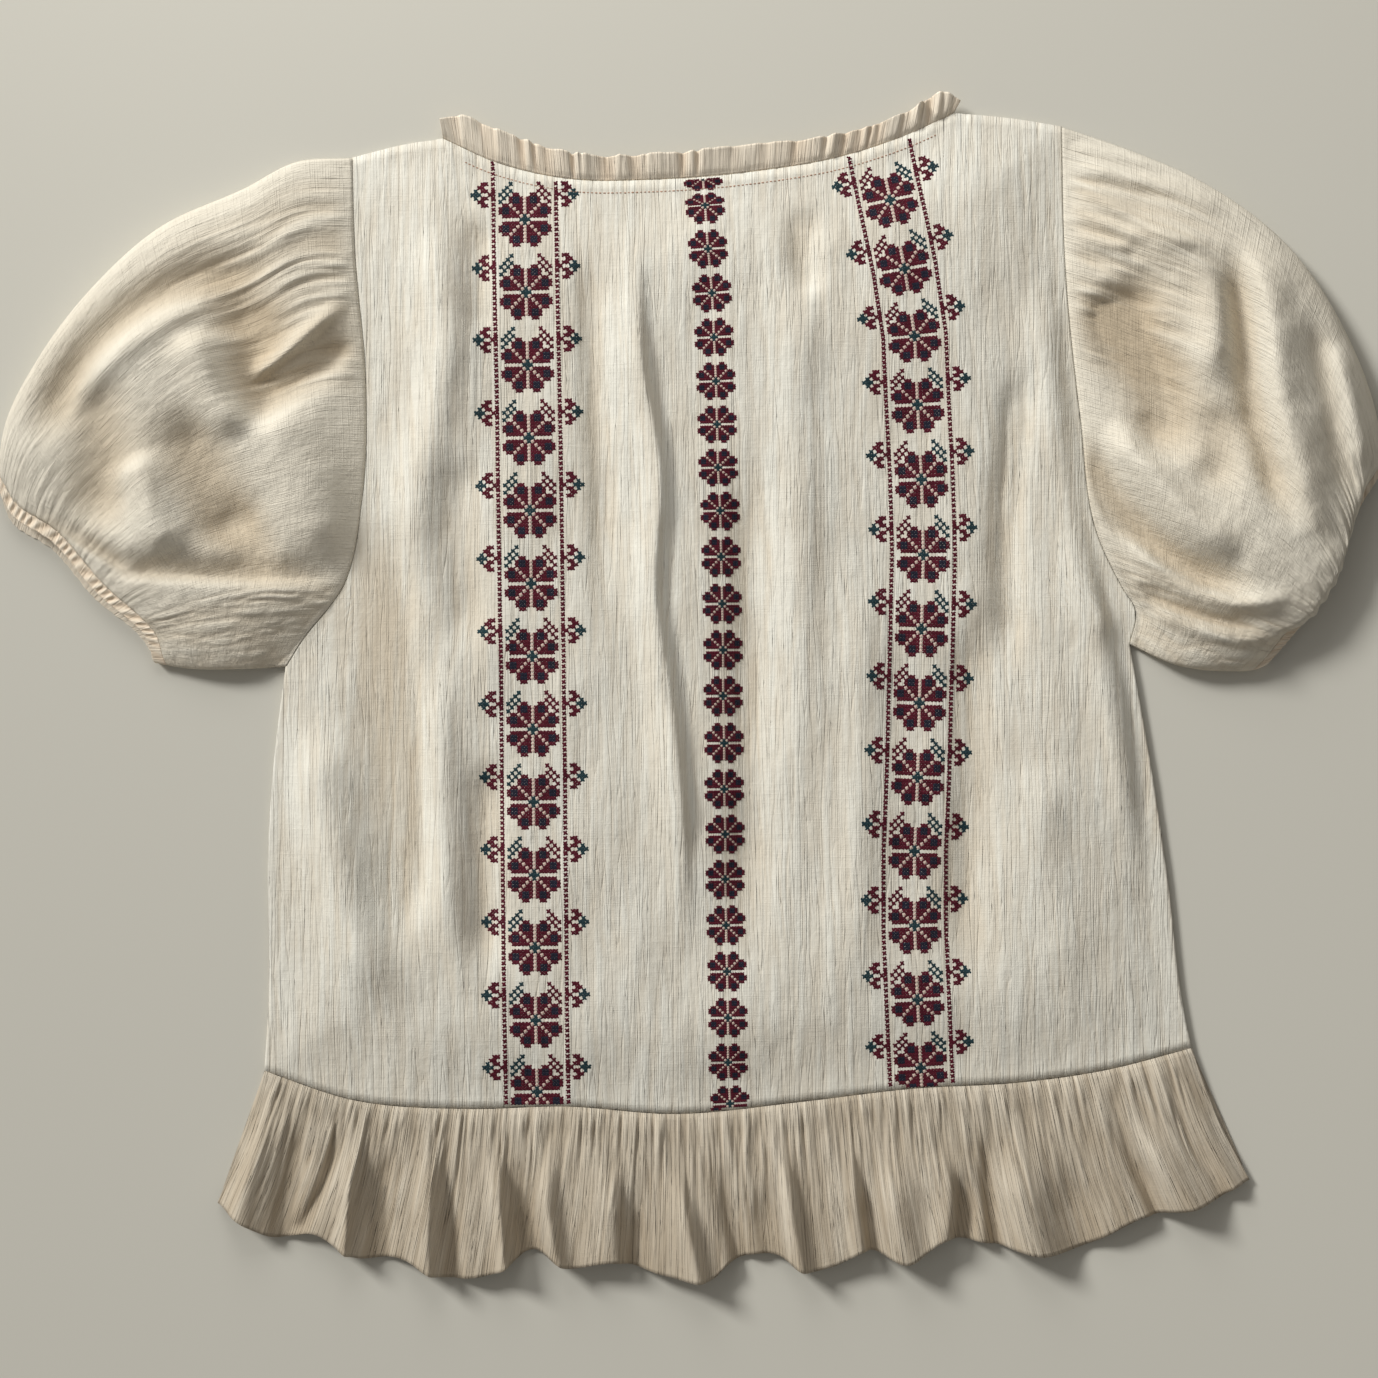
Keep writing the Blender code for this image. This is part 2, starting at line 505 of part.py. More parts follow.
def make_sleeve(name, sleeve):
    """A puff sleeve as flattened rings from its armhole to its cuff. Where it has a lip, the
    last rings hang over the cuff and turn back under to it."""
    ring, shown = ring_places()
    lip = sleeve.lip
    share = np.concatenate([SLEEVE_SHARES, np.ones(len(lip))])
    across = np.broadcast_to(ring, (len(share), len(ring)))
    s = share[:, None]
    run = np.arange(len(share)) - len(SLEEVE_SHARES)
    shown_back = np.array([sleeve.shown_back if k < 0 else lip[k].shown_back for k in run])[:, None]
    hidden_back = np.array([sleeve.hidden_back if k < 0 else lip[k].hidden_back for k in run])[:, None]
    inner = ease(*sleeve.turn, np.minimum(across, 1 - across)) * shown
    back = hidden_back + (shown_back - hidden_back) * inner
    scallop = np.array([0.0 if k < 0 else lip[k].scallop for k in run])[:, None]
    back = back + scallop * inner * np.cos(2 * np.pi * RIGHT_LIP_SCALLOPS * across)
    plan = sleeve_plan(sleeve, across, back, np.broadcast_to(s, across.shape))

    swell = np.maximum(np.sin(np.pi * s), 0.0) ** 0.75 * (1 - PUFF_FALL * across**2)
    crest = FLAT_TUBE * (1 - s) + sleeve.end_height * s
    crest = crest + (PUFF_HEIGHT - (FLAT_TUBE + sleeve.end_height) / 2) * swell
    crest = crest + fold_height(plan, sleeve.folds) * ease(0.0, 0.2, s) * ease(0.0, 0.1, 1 - s)
    gathered = (across > ARMHOLE_GATHERS_FROM) & (across < ARMHOLE_GATHERS_TO) & shown
    gather = gathered * (np.arange(len(ring)) % 2) * ease(0.0, 0.06, s) * ease(0.5, 0.1, s)
    crest = crest + ARMHOLE_GATHER_HEIGHT * gather
    for k, row in enumerate(lip):
        crest[len(SLEEVE_SHARES) + k] = row.height
    edge = FLAT_TUBE / 2 + (SLEEVE_EDGE_HEIGHT - FLAT_TUBE / 2) * ease(0.0, 0.45, s)
    edge = edge + (CUFF_EDGE_HEIGHT - SLEEVE_EDGE_HEIGHT) * ease(0.55, 1.0, s)
    over = np.maximum(edge + (crest - edge) * roundness(across), FLAT_TUBE)
    over = np.where((across == 0.0) | (across == 1.0), edge, over)
    under = np.where(np.minimum(across, 1 - across) < 0.02, 0.3 * (edge - FLAT_TUBE / 2), 0.0)
    height = np.where(shown, over, under)
    flush_ends = (0,) if lip else (0, -1)
    tube_from_rings(name, np.concatenate([plan, height[..., None]], axis=-1), sleeve.side,
                    flush_ends, GAUZE)


def make_cuff(name, sleeve):
    """The band on a sleeve's end, ruched by the elastic in it."""
    ring, shown = ring_places(every=2)
    rows = np.array([0.0, 0.5, 1.0])[:, None]
    across = np.broadcast_to(ring, (len(rows), len(ring)))
    inner = ease(*sleeve.turn, np.minimum(across, 1 - across)) * shown
    start = sleeve.band_hidden_back + (sleeve.band_shown_back - sleeve.band_hidden_back) * inner
    pucker = np.cos(2 * np.pi * CUFF_GATHERS * across)
    back = start - SEAM_CLEARANCE - (CUFF_WIDTH - 1.0) * rows
    back = back - CUFF_PUCKER_DEPTH * pucker * rows
    plan = sleeve_plan(sleeve, across, back, np.ones(across.shape))
    over = CUFF_EDGE_HEIGHT + (CUFF_HEIGHT - CUFF_EDGE_HEIGHT) * roundness(across)
    over = over + CUFF_PUCKER_HEIGHT * (pucker - 1.0) * inner * np.sin(np.pi * rows)
    under = np.where(np.minimum(across, 1 - across) < 0.02, 0.3 * (CUFF_EDGE_HEIGHT - WALL), 0.0)
    height = np.where(shown, over, under)
    tube_from_rings(name, np.concatenate([plan, height[..., None]], axis=-1), sleeve.side,
                    (0, -1), RUFFLE_GAUZE)


def clear_scene():
    for thing in list(bpy.data.objects):
        bpy.data.objects.remove(thing, do_unlink=True)


def main():
    clear_scene()
    make_front_panel()
    make_back_panel()
    make_hem_ruffles()
    make_neck_ruffles()
    make_sleeve("sleeve_left", LEFT_SLEEVE)
    make_sleeve("sleeve_right", RIGHT_SLEEVE)
    make_cuff("cuff_left", LEFT_SLEEVE)
    make_cuff("cuff_right", RIGHT_SLEEVE)


main()
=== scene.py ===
"""The looks of a puff-sleeved peasant top that is laid flat with its back uppermost.

Every cut piece of cloth is a thin shell on the form of its solid. Sizes are in millimetres
in the tables and functions, and become metres in the meshes. X runs across the garment,
Y from the hem to the neck and Z up from the surface that the garment lies on.
"""

import math
from collections import namedtuple

import bpy
import numpy as np
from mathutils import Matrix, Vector
from mathutils.bvhtree import BVHTree


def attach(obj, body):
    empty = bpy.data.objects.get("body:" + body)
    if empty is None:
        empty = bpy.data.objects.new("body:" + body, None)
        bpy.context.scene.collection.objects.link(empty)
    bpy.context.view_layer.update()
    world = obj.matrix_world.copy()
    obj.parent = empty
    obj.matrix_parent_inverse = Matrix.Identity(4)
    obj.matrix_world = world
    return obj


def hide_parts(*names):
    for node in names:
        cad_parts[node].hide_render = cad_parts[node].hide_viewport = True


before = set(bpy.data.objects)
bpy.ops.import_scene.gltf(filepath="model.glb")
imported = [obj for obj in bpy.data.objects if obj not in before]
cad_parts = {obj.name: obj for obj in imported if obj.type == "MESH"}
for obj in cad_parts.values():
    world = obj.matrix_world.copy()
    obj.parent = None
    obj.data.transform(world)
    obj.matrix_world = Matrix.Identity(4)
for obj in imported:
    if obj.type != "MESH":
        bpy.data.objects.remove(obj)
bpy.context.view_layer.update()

METRES = 0.001

# Driving dimensions of the cloth, as in the solids
WALL = 1.5
LAYER = 1.8
FLAT_TUBE = 3.6
SHELL = 0.6
SEAM_OPENING = 0.12
TOP = LAYER + WALL
LOWEST_TOP = LAYER + SHELL + 0.1
TUBE_EDGE = FLAT_TUBE / 2

# Folds are listed by the middle of their side towards or away from the window, so a crest
# or a bottom lies this share of the half width further on. A leaning fold's steep side is
# a share of its width. A fold is stubby or slim by its length in half widths.
CREST_OFFSET = (0.40, -0.45)
STEEP = 0.42
STUBBY = 3.0
SLIM = 5.5
FOLD_SHADE_DEPTH = 14.0
# Keeps a division by a distance away from zero
SMALL = 1e-6
# The level of a crinkle that leaves the cloth's height as it is
CREASE_LEVEL = 0.45

# Body panels
PANEL_CROWN = 6.2
PANEL_CROWN_REACH = 52.0
PANEL_FOLD_REACH = 22.0
PANEL_FOLD_STRENGTH = 1.3
PANEL_DENT_SIZE = 30.0
PANEL_DENT_DEPTH = 1.6
PANEL_COLUMN_STEP = 1.02
PANEL_ROW_STEP = 5.0
PANEL_EDGE_REACH = 8.0
CRINKLE_HEIGHT = 0.70
CRINKLE_PITCH = 3.7
FRONT_COLUMN_STEP = 4.0
FRONT_ROW_STEP = 7.0
FRONT_SUNK = 0.5
FRONT_CRINKLE_HEIGHT = 0.45
FRONT_CRINKLE_PITCH = 9.0
WIDE_CALM = 19.0
SMALL_CALM = 10.0
CALM_OUTSIDE = 6.0
CALM_INSIDE = 4.0

# Stitched channel under the neck ruffle
CHANNEL_DEPTH = 6.7
CHANNEL_RISE = 0.3
CHANNEL_GROOVE = 1.0
CHANNEL_GROOVE_WIDTH = 1.3
CHANNEL_RIB = 1.0
CHANNEL_RIB_REACH = 7.0
CHANNEL_RIB_PITCH = 3.0
CHANNEL_STITCH = 1.5
CHANNEL_STITCH_PITCH = 2.3
CHANNEL_THREAD = 0.38

# Sleeves
PUFF_HEIGHT = 25.0
PUFF_FALL = 0.42
SLEEVE_EDGE_HEIGHT = 8.0
SLEEVE_AROUND = 290.0
SLEEVE_LENGTH = 200.0
ARMHOLE_GATHER_HEIGHT = 4.4
ARMHOLE_GATHER_PITCH = 6.0
ARMHOLE_GATHERS_FROM = 0.03
ARMHOLE_GATHERS_TO = 0.43
SLEEVE_CRINKLE = 0.10
SLEEVE_CRINKLE_PITCH = 5.0
UNDER_STRIP_FROM = 0.80
UNDER_STRIP_CRINKLE = 2.2
WIDE_DENT = 34.0
WIDE_DENT_DEPTH = 1.2
SMALL_DENT = 12.0
SMALL_DENT_DEPTH = 0.6
SLEEVE_RINGS = 130
SLEEVE_SHOWN_POINTS = 262
SLEEVE_HIDDEN_POINTS = 56
UPPER_EDGE_RUN = 300.0
LOWER_EDGE_RUN = 80.0
TUCKED_EDGE = 0.02
TUCKED_RISE = 0.3

# Cuffs
CUFF_WIDTH = 8.0
CUFF_HEIGHT = 10.0
CUFF_EDGE_HEIGHT = 4.6
CUFF_AROUND = 160.0
CUFF_GATHERS = 26
CUFF_BULGE = 0.9
CUFF_NECK = 0.4
CUFF_GATHER_PITCH = 7.0
CUFF_ROWS = 12
CUFF_SHOWN_POINTS = 260
CUFF_HIDDEN_POINTS = 60
RIGHT_LIP_SCALLOPS = 12

# Ruffles
HEM_RUFFLE_LIFT = 3.2
HEM_RUFFLE_FLARE = 3.0
HEM_FOLD_STRENGTH = 1.6
HEM_FOLD_FADE = 0.55
HEM_FOLD_START = 0.45
HEM_GATHER_HEIGHT = 4.6
HEM_GATHER_PITCH = 5.0
HEM_CRINKLE_HEIGHT = 1.2
HEM_CRINKLE_PITCH = 3.5
HEM_WAVES = 34
HEM_WAVE_DRIFT = 0.4
HEM_WAVE_HEIGHT = 0.6
HEM_FRONT_SHORTER = 7.0
HEM_SCALLOP = 1.6
HEM_SCALLOPS = 22
HEM_RUFFLE_FULLNESS = 1.35
HEM_RUFFLE_DEPTH = 90.0
NECK_FLUTE_PITCH = 8.4
NECK_FLUTE_SEAM = 1.2
NECK_FLUTE_FREE = 7.5
NECK_CREASE_PITCH = 4.0
NECK_SCALLOP = 2.2
NECK_FRONT_FLUTES = 20
NECK_RUFFLE_FULLNESS = 1.5
NECK_RUFFLE_DEPTH = 16.0

# Columns and rows of the ruffles' point grids
HEM_BACK_GRID = (700, 36)
HEM_FRONT_GRID = (260, 12)
NECK_BACK_GRID = (640, 15)
NECK_FRONT_GRID = (240, 6)

# Seeds of the creases and dents
PANEL_SEED = 5
PANEL_DENT_SEED = 61
CHANNEL_SEED = 35
FRONT_SEED = 15
HEM_GATHER_SEED = 25
HEM_CREASE_SEED = 29
NECK_FLUTE_SEED = 97
NECK_CREASE_SEED = 93
SLEEVE_GATHER_SEED = 71
SLEEVE_CREASE_SEED = 83
CUFF_GATHER_SEED = 89
WIDE_DENT_SEED = 41
SMALL_DENT_SEED = 47
PUCKER_SEED = 71

# Camera, which looks straight down
PHOTO_PIXEL = 0.56
PHOTO_SIZE = 1378
CAMERA_LENS = 85.0
CAMERA_SENSOR = 36.0
CAMERA_SHIFT_DOWN = 1.1
FOCUS_HEIGHT = 5.0

# Floor, in metres, and lights
FLOOR_SIZE = 8.0
FLOOR_DROP = 0.0002
DAYLIGHT = (1.0, 0.99, 0.96)
KEY_ENERGY = 2.75
KEY_SPREAD = 15
WINDOW_ENERGY = 4.5
WINDOW_SIZE = 0.7
SKY_STRENGTH = 0.24

# Armholes run from the shoulder tip to the underarm, sides from there to the hem seam.
ARMHOLE_LEFT = (
    (-188.7, 296.8), (-187, 240.2), (-181.4, 177.5), (-183.1, 105.8), (-193.2, 57.7), (-217.8, 24.6),
    (-226.2, 11.2))
SIDE_LEFT = ((-226.2, 11.2), (-232.4, -38.6), (-235.8, -89), (-235.4, -169), (-238, -215))
ARMHOLE_RIGHT = (
    (208.9, 314.2), (210.6, 240.2), (219.2, 151.8), (229, 85.1), (243.6, 54.3), (250.3, 43.1),
    (247, 23.5))
SIDE_RIGHT = ((247, 23.5), (255.4, -23), (268.2, -105.8), (277.8, -183.7), (281.7, -202.2))

# Shoulder seams run from the armhole to the neck, the necklines between them.
SHOULDER_LEFT = ((-188.7, 296.8), (-158.5, 304.3), (-138, 307.4))
SHOULDER_RIGHT = ((148.6, 321.8), (182, 318.6), (208.9, 314.2))
NECK_BACK = (
    (-138, 307.4), (-108.1, 294), (-65.5, 284.5), (-22.4, 284.2), (41.4, 289.5), (84.6, 297.1),
    (123.2, 309.9), (148.6, 321.8))
NECK_FRONT = ((-138, 307.4), (-112, 268), (-60, 240), (4, 231), (68, 243), (122, 276), (148.6, 321.8))
HEM_SEAM = (
    (-238, -215), (-188.2, -231.3), (-123.8, -236.3), (-70.6, -234.9), (-6.2, -239.1), (62.2, -232.4),
    (123.8, -225.1), (188.2, -221.2), (231.3, -215), (281.7, -202.2))

# Free edges of the ruffles, and the two ends of the hem ruffle
NECK_FREE_EDGE = (
    (-139.5, 318), (-131, 320), (-106.4, 311.9), (-67.8, 299.5), (-11.8, 299.2), (39.8, 304.6),
    (82.3, 309.6), (125.4, 324), (142, 333), (152.5, 329))
HEM_FREE_EDGE = (
    (-264.3, -289), (-247.5, -301.3), (-232.4, -308), (-210.6, -305.8), (-188.2, -318.6), (-160, -320.3),
    (-142, -329.3), (-104.7, -326), (-88, -315.2), (-68, -324.5), (-42.6, -321.4), (-12.3, -329.3),
    (12, -331.5), (24, -321.5), (49.8, -318.1), (64, -326.5), (81.2, -323.7), (100.2, -315.2),
    (122.1, -322), (144, -309.2), (171.4, -311.9), (198.8, -317.5), (224.6, -311.4), (252.6, -297.4),
    (286.7, -290.1), (314.2, -276))
HEM_END_LEFT = ((-238, -215), (-249.2, -252.6), (-264.3, -289))
HEM_END_RIGHT = ((281.7, -202.2), (298.5, -246.4), (314.2, -276))

# Outlines of the sleeves
SLEEVE_LEFT_UPPER = (
    (-188.7, 296.8), (-219.5, 294.6), (-248.6, 279.4), (-296.8, 256.5), (-332.1, 225.1), (-362.9, 185.9),
    (-382.5, 148.4), (-388.2, 114))
SLEEVE_LEFT_LOWER = ((-226.2, 11.2), (-250.9, 10), (-282.8, 10.6), (-299.5, 13.6))
SLEEVE_LEFT_CUFF = (
    (-388.2, 114), (-380, 91.8), (-358.4, 77.5), (-334.3, 49.8), (-305.5, 24.5), (-299.5, 13.6))
SLEEVE_RIGHT_UPPER = (
    (208.9, 314.2), (245.8, 301.3), (287.8, 282.2), (336.6, 244.7), (367.4, 198.2), (385.3, 149.5),
    (388, 130), (385.8, 114.2))
SLEEVE_RIGHT_LOWER = ((247, 23.5), (272.2, 12.4), (301.3, 8.8), (318, 10), (327.6, 14.6))
SLEEVE_RIGHT_CUFF = ((385.8, 114.2), (371.8, 91.8), (361.2, 58.8), (346, 36), (327.6, 14.6))

# A fold is a soft ridge along its points in plan, or a trough where its rise is below zero.
# Where it leans, its left side as it runs (1) or its right side (-1) is steep.
Fold = namedtuple("Fold", "half_width rise points lean", defaults=(0,))
PANEL_FOLDS = (
    Fold(11, 6, ((-33, 266), (-32, 190), (-21, 125), (-24, 57), (-14, -10), (-8, -75), (-8, -140)), 1),
    Fold(8, -3.4, ((-58, 258), (-58, 200), (-52, 120), (-50, 40))),
    Fold(13, -4.4, ((27, 150), (29, 60), (29, -40), (29, -160))),
    Fold(14, 3.4, ((54, 262), (54, 130), (58, 10), (56, -90))),
    Fold(9, -4, ((62, 272), (60, 248), (66, 222))),
    Fold(12, 5, ((-156, 268), (-140, 205), (-148, 150), (-158, 110), (-155, 50))),
    Fold(9, -3.4, ((-122, 268), (-122, 236), (-119, 196))),
    Fold(12, -3.6, ((-130, 140), (-134, 100), (-130, 50), (-134, 20))),
    Fold(30, -6.4, ((-186, 118), (-178, 50), (-168, -20), (-166, -80), (-184, -150)), 1),
    Fold(15, 6.5, ((-214, -8), (-210, -60), (-196, -120), (-170, -180))),
    Fold(11, 3.2, ((-146, 20), (-143, -55), (-140, -110), (-128, -170))),
    Fold(11, -4.6, ((-117, -30), (-119, -90), (-118, -160))),
    Fold(15, 6, ((198, 268), (202, 190), (214, 125), (220, 57), (233, 10), (240, -50), (250, -120)), 1),
    Fold(9, -4.6, ((184, 190), (177, 130), (174, 70), (178, 0))),
    Fold(13, -4.2, ((156, 60), (152, -30), (150, -110), (152, -170))),
    Fold(16, 3, ((188, -30), (196, -100), (208, -170))),
    Fold(14, 3, ((84, 90), (90, 0), (88, -110), (80, -180))),
    Fold(12, -3.6, ((268, 30), (258, -20), (266, -90))),
)
LEFT_SLEEVE_FOLDS = (
    Fold(12, -8, ((-372, 134), (-352, 176), (-314, 215), (-274, 236), (-228, 243))),
    Fold(8, 4.5, ((-352, 152), (-331, 178), (-302, 203), (-262, 219))),
    Fold(18, -8, ((-338, 164), (-333, 142), (-334, 116))),
    Fold(12, 7, ((-284, 206), (-274, 184), (-264, 160), (-256, 140))),
    Fold(18, -9, ((-256, 216), (-248, 204), (-250, 180))),
    Fold(6, 5, ((-250, 172), (-228, 188), (-204, 208), (-186, 224)), -1),
    Fold(10, -5.5, ((-254, 150), (-226, 172), (-190, 206))),
    Fold(19, -9, ((-284, 142), (-276, 122), (-268, 104))),
    Fold(12, 6.5, ((-316, 136), (-306, 108), (-292, 76))),
    Fold(18, 6, ((-232, 150), (-222, 126), (-214, 100))),
    Fold(14, -6, ((-256, 96), (-248, 84))),
    Fold(10, -6, ((-334, 70), (-268, 67), (-196, 66)), -1),
    Fold(6, -5, ((-372, 100), (-346, 86), (-312, 66)), -1),
)
RIGHT_SLEEVE_FOLDS = (
    Fold(10, 5, ((240, 262), (268, 246), (284, 230), (288, 206), (280, 166))),
    Fold(19, -9.5, ((228, 240), (240, 206), (258, 166), (256, 128))),
    Fold(13, -5, ((292, 150), (290, 128))),
    Fold(5, 4.6, ((206, 287), (238, 268), (262, 253), (292, 245))),
    Fold(4.5, 4, ((206, 298), (240, 287), (270, 279), (302, 262))),
    Fold(4, 3.8, ((206, 272), (232, 259), (256, 248))),
    Fold(4, 3.4, ((206, 307), (236, 299), (266, 291))),
    Fold(3.5, 3.2, ((207, 260), (228, 250), (248, 245))),
    Fold(9, -6.5, ((296, 252), (304, 212), (309, 168), (320, 126), (338, 88))),
    Fold(15, 7.5, ((304, 262), (315, 212), (320, 166), (332, 122), (348, 84)), -1),
    Fold(8, -3.4, ((341, 214), (352, 168), (359, 125), (369, 98))),
    Fold(6, 3.6, ((356, 196), (366, 158), (374, 118))),
    Fold(10, 7, ((228, 154), (254, 120), (277, 94), (306, 74))),
    Fold(9, -8, ((216, 150), (228, 118), (249, 91), (277, 70), (316, 54))),
    Fold(5, 4, ((238, 92), (262, 66), (300, 49), (340, 52))),
    Fold(4.5, -4, ((246, 60), (276, 44), (320, 35))),
    Fold(5, 3.6, ((252, 46), (284, 33), (324, 26))),
)
HEM_FOLDS = (
    Fold(9, 3.4, ((-236, -220), (-248, -256), (-256, -300))),
    Fold(8, -4.4, ((-217, -229), (-226, -274), (-231, -312))),
    Fold(4, -3.2, ((-196, -236), (-206, -274), (-218, -300))),
    Fold(5, 4.4, ((-181, -238), (-190, -272), (-194, -316)), 1),
    Fold(10, -4.4, ((-168, -246), (-178, -280), (-174, -324))),
    Fold(8, 4.8, ((-144, -242), (-148, -286), (-148, -334)), 1),
    Fold(6, -4, ((-136, -250), (-137, -300), (-134, -334))),
    Fold(5.5, 4.8, ((-111, -242), (-108, -278), (-104, -332)), 1),
    Fold(8, -5.4, ((-101, -258), (-95, -300), (-89, -326))),
    Fold(5, 4.6, ((-80, -246), (-81, -290), (-73, -330))),
    Fold(14, 4.2, ((-50, -248), (-47, -286), (-45, -328)), 1),
    Fold(9, -4.4, ((-36, -262), (-36, -300), (-34, -334))),
    Fold(10, 5.2, ((-14, -254), (-6, -290), (4, -338)), 1),
    Fold(6, -4.6, ((12, -258), (21, -292), (30, -328))),
    Fold(5, 5, ((50, -240), (53, -276), (62, -332))),
    Fold(9, -3.4, ((42, -262), (40, -292), (44, -326))),
    Fold(7, 3.2, ((86, -246), (91, -286), (96, -324)), 1),
    Fold(6, -4.4, ((96, -256), (99, -290), (103, -322))),
    Fold(11, 5.2, ((109, -244), (111, -286), (120, -330))),
    Fold(8, 3, ((134, -250), (143, -278), (138, -318)), 1),
    Fold(6, -5.4, ((149, -262), (152, -292), (150, -318))),
    Fold(5, -5, ((163, -240), (166, -272), (172, -318))),
    Fold(12, 5.2, ((175, -236), (182, -280), (192, -326))),
    Fold(12, -3.8, ((204, -250), (210, -280), (221, -320))),
    Fold(5, -4, ((230, -236), (250, -268), (266, -304))),
    Fold(8, 4.4, ((242, -232), (261, -262), (284, -298))),
    Fold(6, -2.6, ((262, -222), (282, -256), (300, -286))),
)

# Rings past the end of a puff that overhangs its cuff
LipRing = namedtuple("LipRing", "shown_back hidden_back height scallop")
LIP_STEPS = 3
LIP_GATHER = 2.0
RIGHT_LIP = (
    LipRing(5.0, 20.0, 18.5, 0.0),
    LipRing(0.8, 17.0, 15.4, 1.3),
    LipRing(3.0, 15.5, 13.2, 1.0),
    LipRing(9.5, 13.7, 12.5, 0.0),
    LipRing(12.0, 12.0, 10.6, 0.0),
)

# What differs between the sleeves. The two backs say how far back from the outline at the
# cuff the band starts, on the layer that shows and on the hidden one. A puff with no lip
# ends there too.
Sleeve = namedtuple("Sleeve", "side armhole upper_edge lower_edge cuff_edge folds lip turn end_height "
                              "fold_strength cuff_gather shown_back hidden_back")
LEFT_SLEEVE = Sleeve(
    side=-1, armhole=ARMHOLE_LEFT, upper_edge=SLEEVE_LEFT_UPPER, lower_edge=SLEEVE_LEFT_LOWER,
    cuff_edge=SLEEVE_LEFT_CUFF, folds=LEFT_SLEEVE_FOLDS, lip=(), turn=(0.0, 0.14),
    end_height=CUFF_HEIGHT, fold_strength=1.3, cuff_gather=1.3, shown_back=13.0, hidden_back=8.0)
RIGHT_SLEEVE = Sleeve(
    side=1, armhole=ARMHOLE_RIGHT, upper_edge=SLEEVE_RIGHT_UPPER, lower_edge=SLEEVE_RIGHT_LOWER,
    cuff_edge=SLEEVE_RIGHT_CUFF, folds=RIGHT_SLEEVE_FOLDS, lip=RIGHT_LIP, turn=(0.09, 0.28),
    end_height=18.5, fold_strength=1.45, cuff_gather=3.0, shown_back=12.0, hidden_back=12.0)

# Embroidery. A strip has a flower at each of its centres. The wide strips' flowers repeat
# every 20 stitches and lie between two dotted borders.
REPEAT_STITCHES = 20
WIDE_REPEAT = 40.7
SMALL_REPEAT = 25.4
BORDER_STITCH = 9
STITCH_ACROSS = 1.95
SMALL_STITCH = 1.45
BORDER_DOTS = 14
THREAD_SHARE = 0.38
STITCH_REACH = 1.10
PALE_REACH = 0.62
THREAD_RISE = 0.42
THREAD_SUNK = 0.12
THREAD_END_RISE = 0.05
CROSSING_LIFT = 0.22
STITCH_CLEARANCE = 1.2
STITCH_COLOURS = "rntp"
STRIP_LEFT = (
    (-91.8, 261.5), (-91, 220.6), (-90.2, 180), (-89.4, 139.2), (-88.8, 98.6), (-88.2, 57.8),
    (-87.6, 17.2), (-87.2, -23.6), (-86.8, -64.2), (-86.4, -105), (-86, -145.6), (-85.6, -186.2),
    (-85.1, -226.8))
STRIP_RIGHT = (
    (112.6, 272.2), (120.4, 233.5), (126, 196), (127.7, 157.9), (129.9, 115.9), (131, 73.9),
    (129.9, 32.5), (128.8, -9), (127.7, -50.4), (126, -91.8), (126, -133.3), (127.7, -174.7),
    (129.9, -213.4))
STRIP_CENTRE = (
    (7.8, 285), (9, 269.9), (10.6, 244.7), (12.9, 220.1), (14, 195.4), (15.1, 170.8), (15.7, 146.7),
    (16.2, 122.6), (17.4, 98.6), (17.9, 72.8), (18.5, 46.5), (19, 20.7), (19, -5), (19.6, -31.4),
    (19.6, -57.1), (20.2, -82.3), (20.2, -107.5), (20.7, -133.3), (21.3, -159), (21.8, -184.8),
    (21.8, -210), (23, -233.5))

# A quarter of a flower, row by row from its centre: burgundy (r), navy (n), teal (t) and
# small pale (p) stitches.
FLOWER_QUARTER = (
    "tt......",
    "tprrrrr.",
    "prprrnnr",
    "prrprnnr",
    "prrrprr.",
    "prnnr...",
    "prnnr...",
    "..rr....",
)
# Half of a berry, row by row from its middle, outward from the border.
BERRY_HALF = (
    ".r..ttt",
    "r.rr.t.",
    "...rr..",
    "..rr...",
)
BERRY_ROW = 7
# Two short slanting lines of stitches at a flower's shoulder, from its middle column.
SLANTS = ((-4, 10), (-5, 9), (-6, 8), (-7, 7), (-4, 8), (-5, 7), (-6, 6), (-7, 5))


def smooth_line(points, steps=16):
    """Points of a smooth curve that passes through every given point."""
    given = np.array(points, dtype=float)
    knots = np.concatenate([[0.0], np.cumsum(np.linalg.norm(np.diff(given, axis=0), axis=1))])
    slopes = np.gradient(given, knots, axis=0)
    line = []
    for k in range(len(given) - 1):
        f = np.linspace(0.0, 1.0, steps, endpoint=False)[:, None]
        span = knots[k + 1] - knots[k]
        line.append((2 * f**3 - 3 * f**2 + 1) * given[k] + (f**3 - 2 * f**2 + f) * span * slopes[k]
                    + (3 * f**2 - 2 * f**3) * given[k + 1] + (f**3 - f**2) * span * slopes[k + 1])
    return np.vstack(line + [given[-1:]])


def lengths(line):
    """Distance along a line at each of its points."""
    return np.concatenate([[0.0], np.cumsum(np.linalg.norm(np.diff(line, axis=0), axis=1))])


def along(line, fractions):
    """Points at the given fractions of a line's length."""
    run = lengths(line)
    places = np.asarray(fractions) * run[-1]
    return np.stack([np.interp(places, run, line[:, k]) for k in range(2)], axis=1)


def evenly(line, step):
    """A line's points at about the given step."""
    return along(line, np.linspace(0.0, 1.0, int(lengths(line)[-1] / step) + 2))


def patch(first, last, start, end, across, down):
    """Plan grid between four edges: rows go from first to last, columns from start to end."""
    u = np.asarray(across)[None, :, None]
    v = np.asarray(down)[:, None, None]
    ruled = (1 - v) * first[None] + v * last[None] + (1 - u) * start[:, None] + u * end[:, None]
    corners = ((1 - u) * (1 - v) * first[0] + u * (1 - v) * first[-1]
               + (1 - u) * v * last[0] + u * v * last[-1])
    return ruled - corners


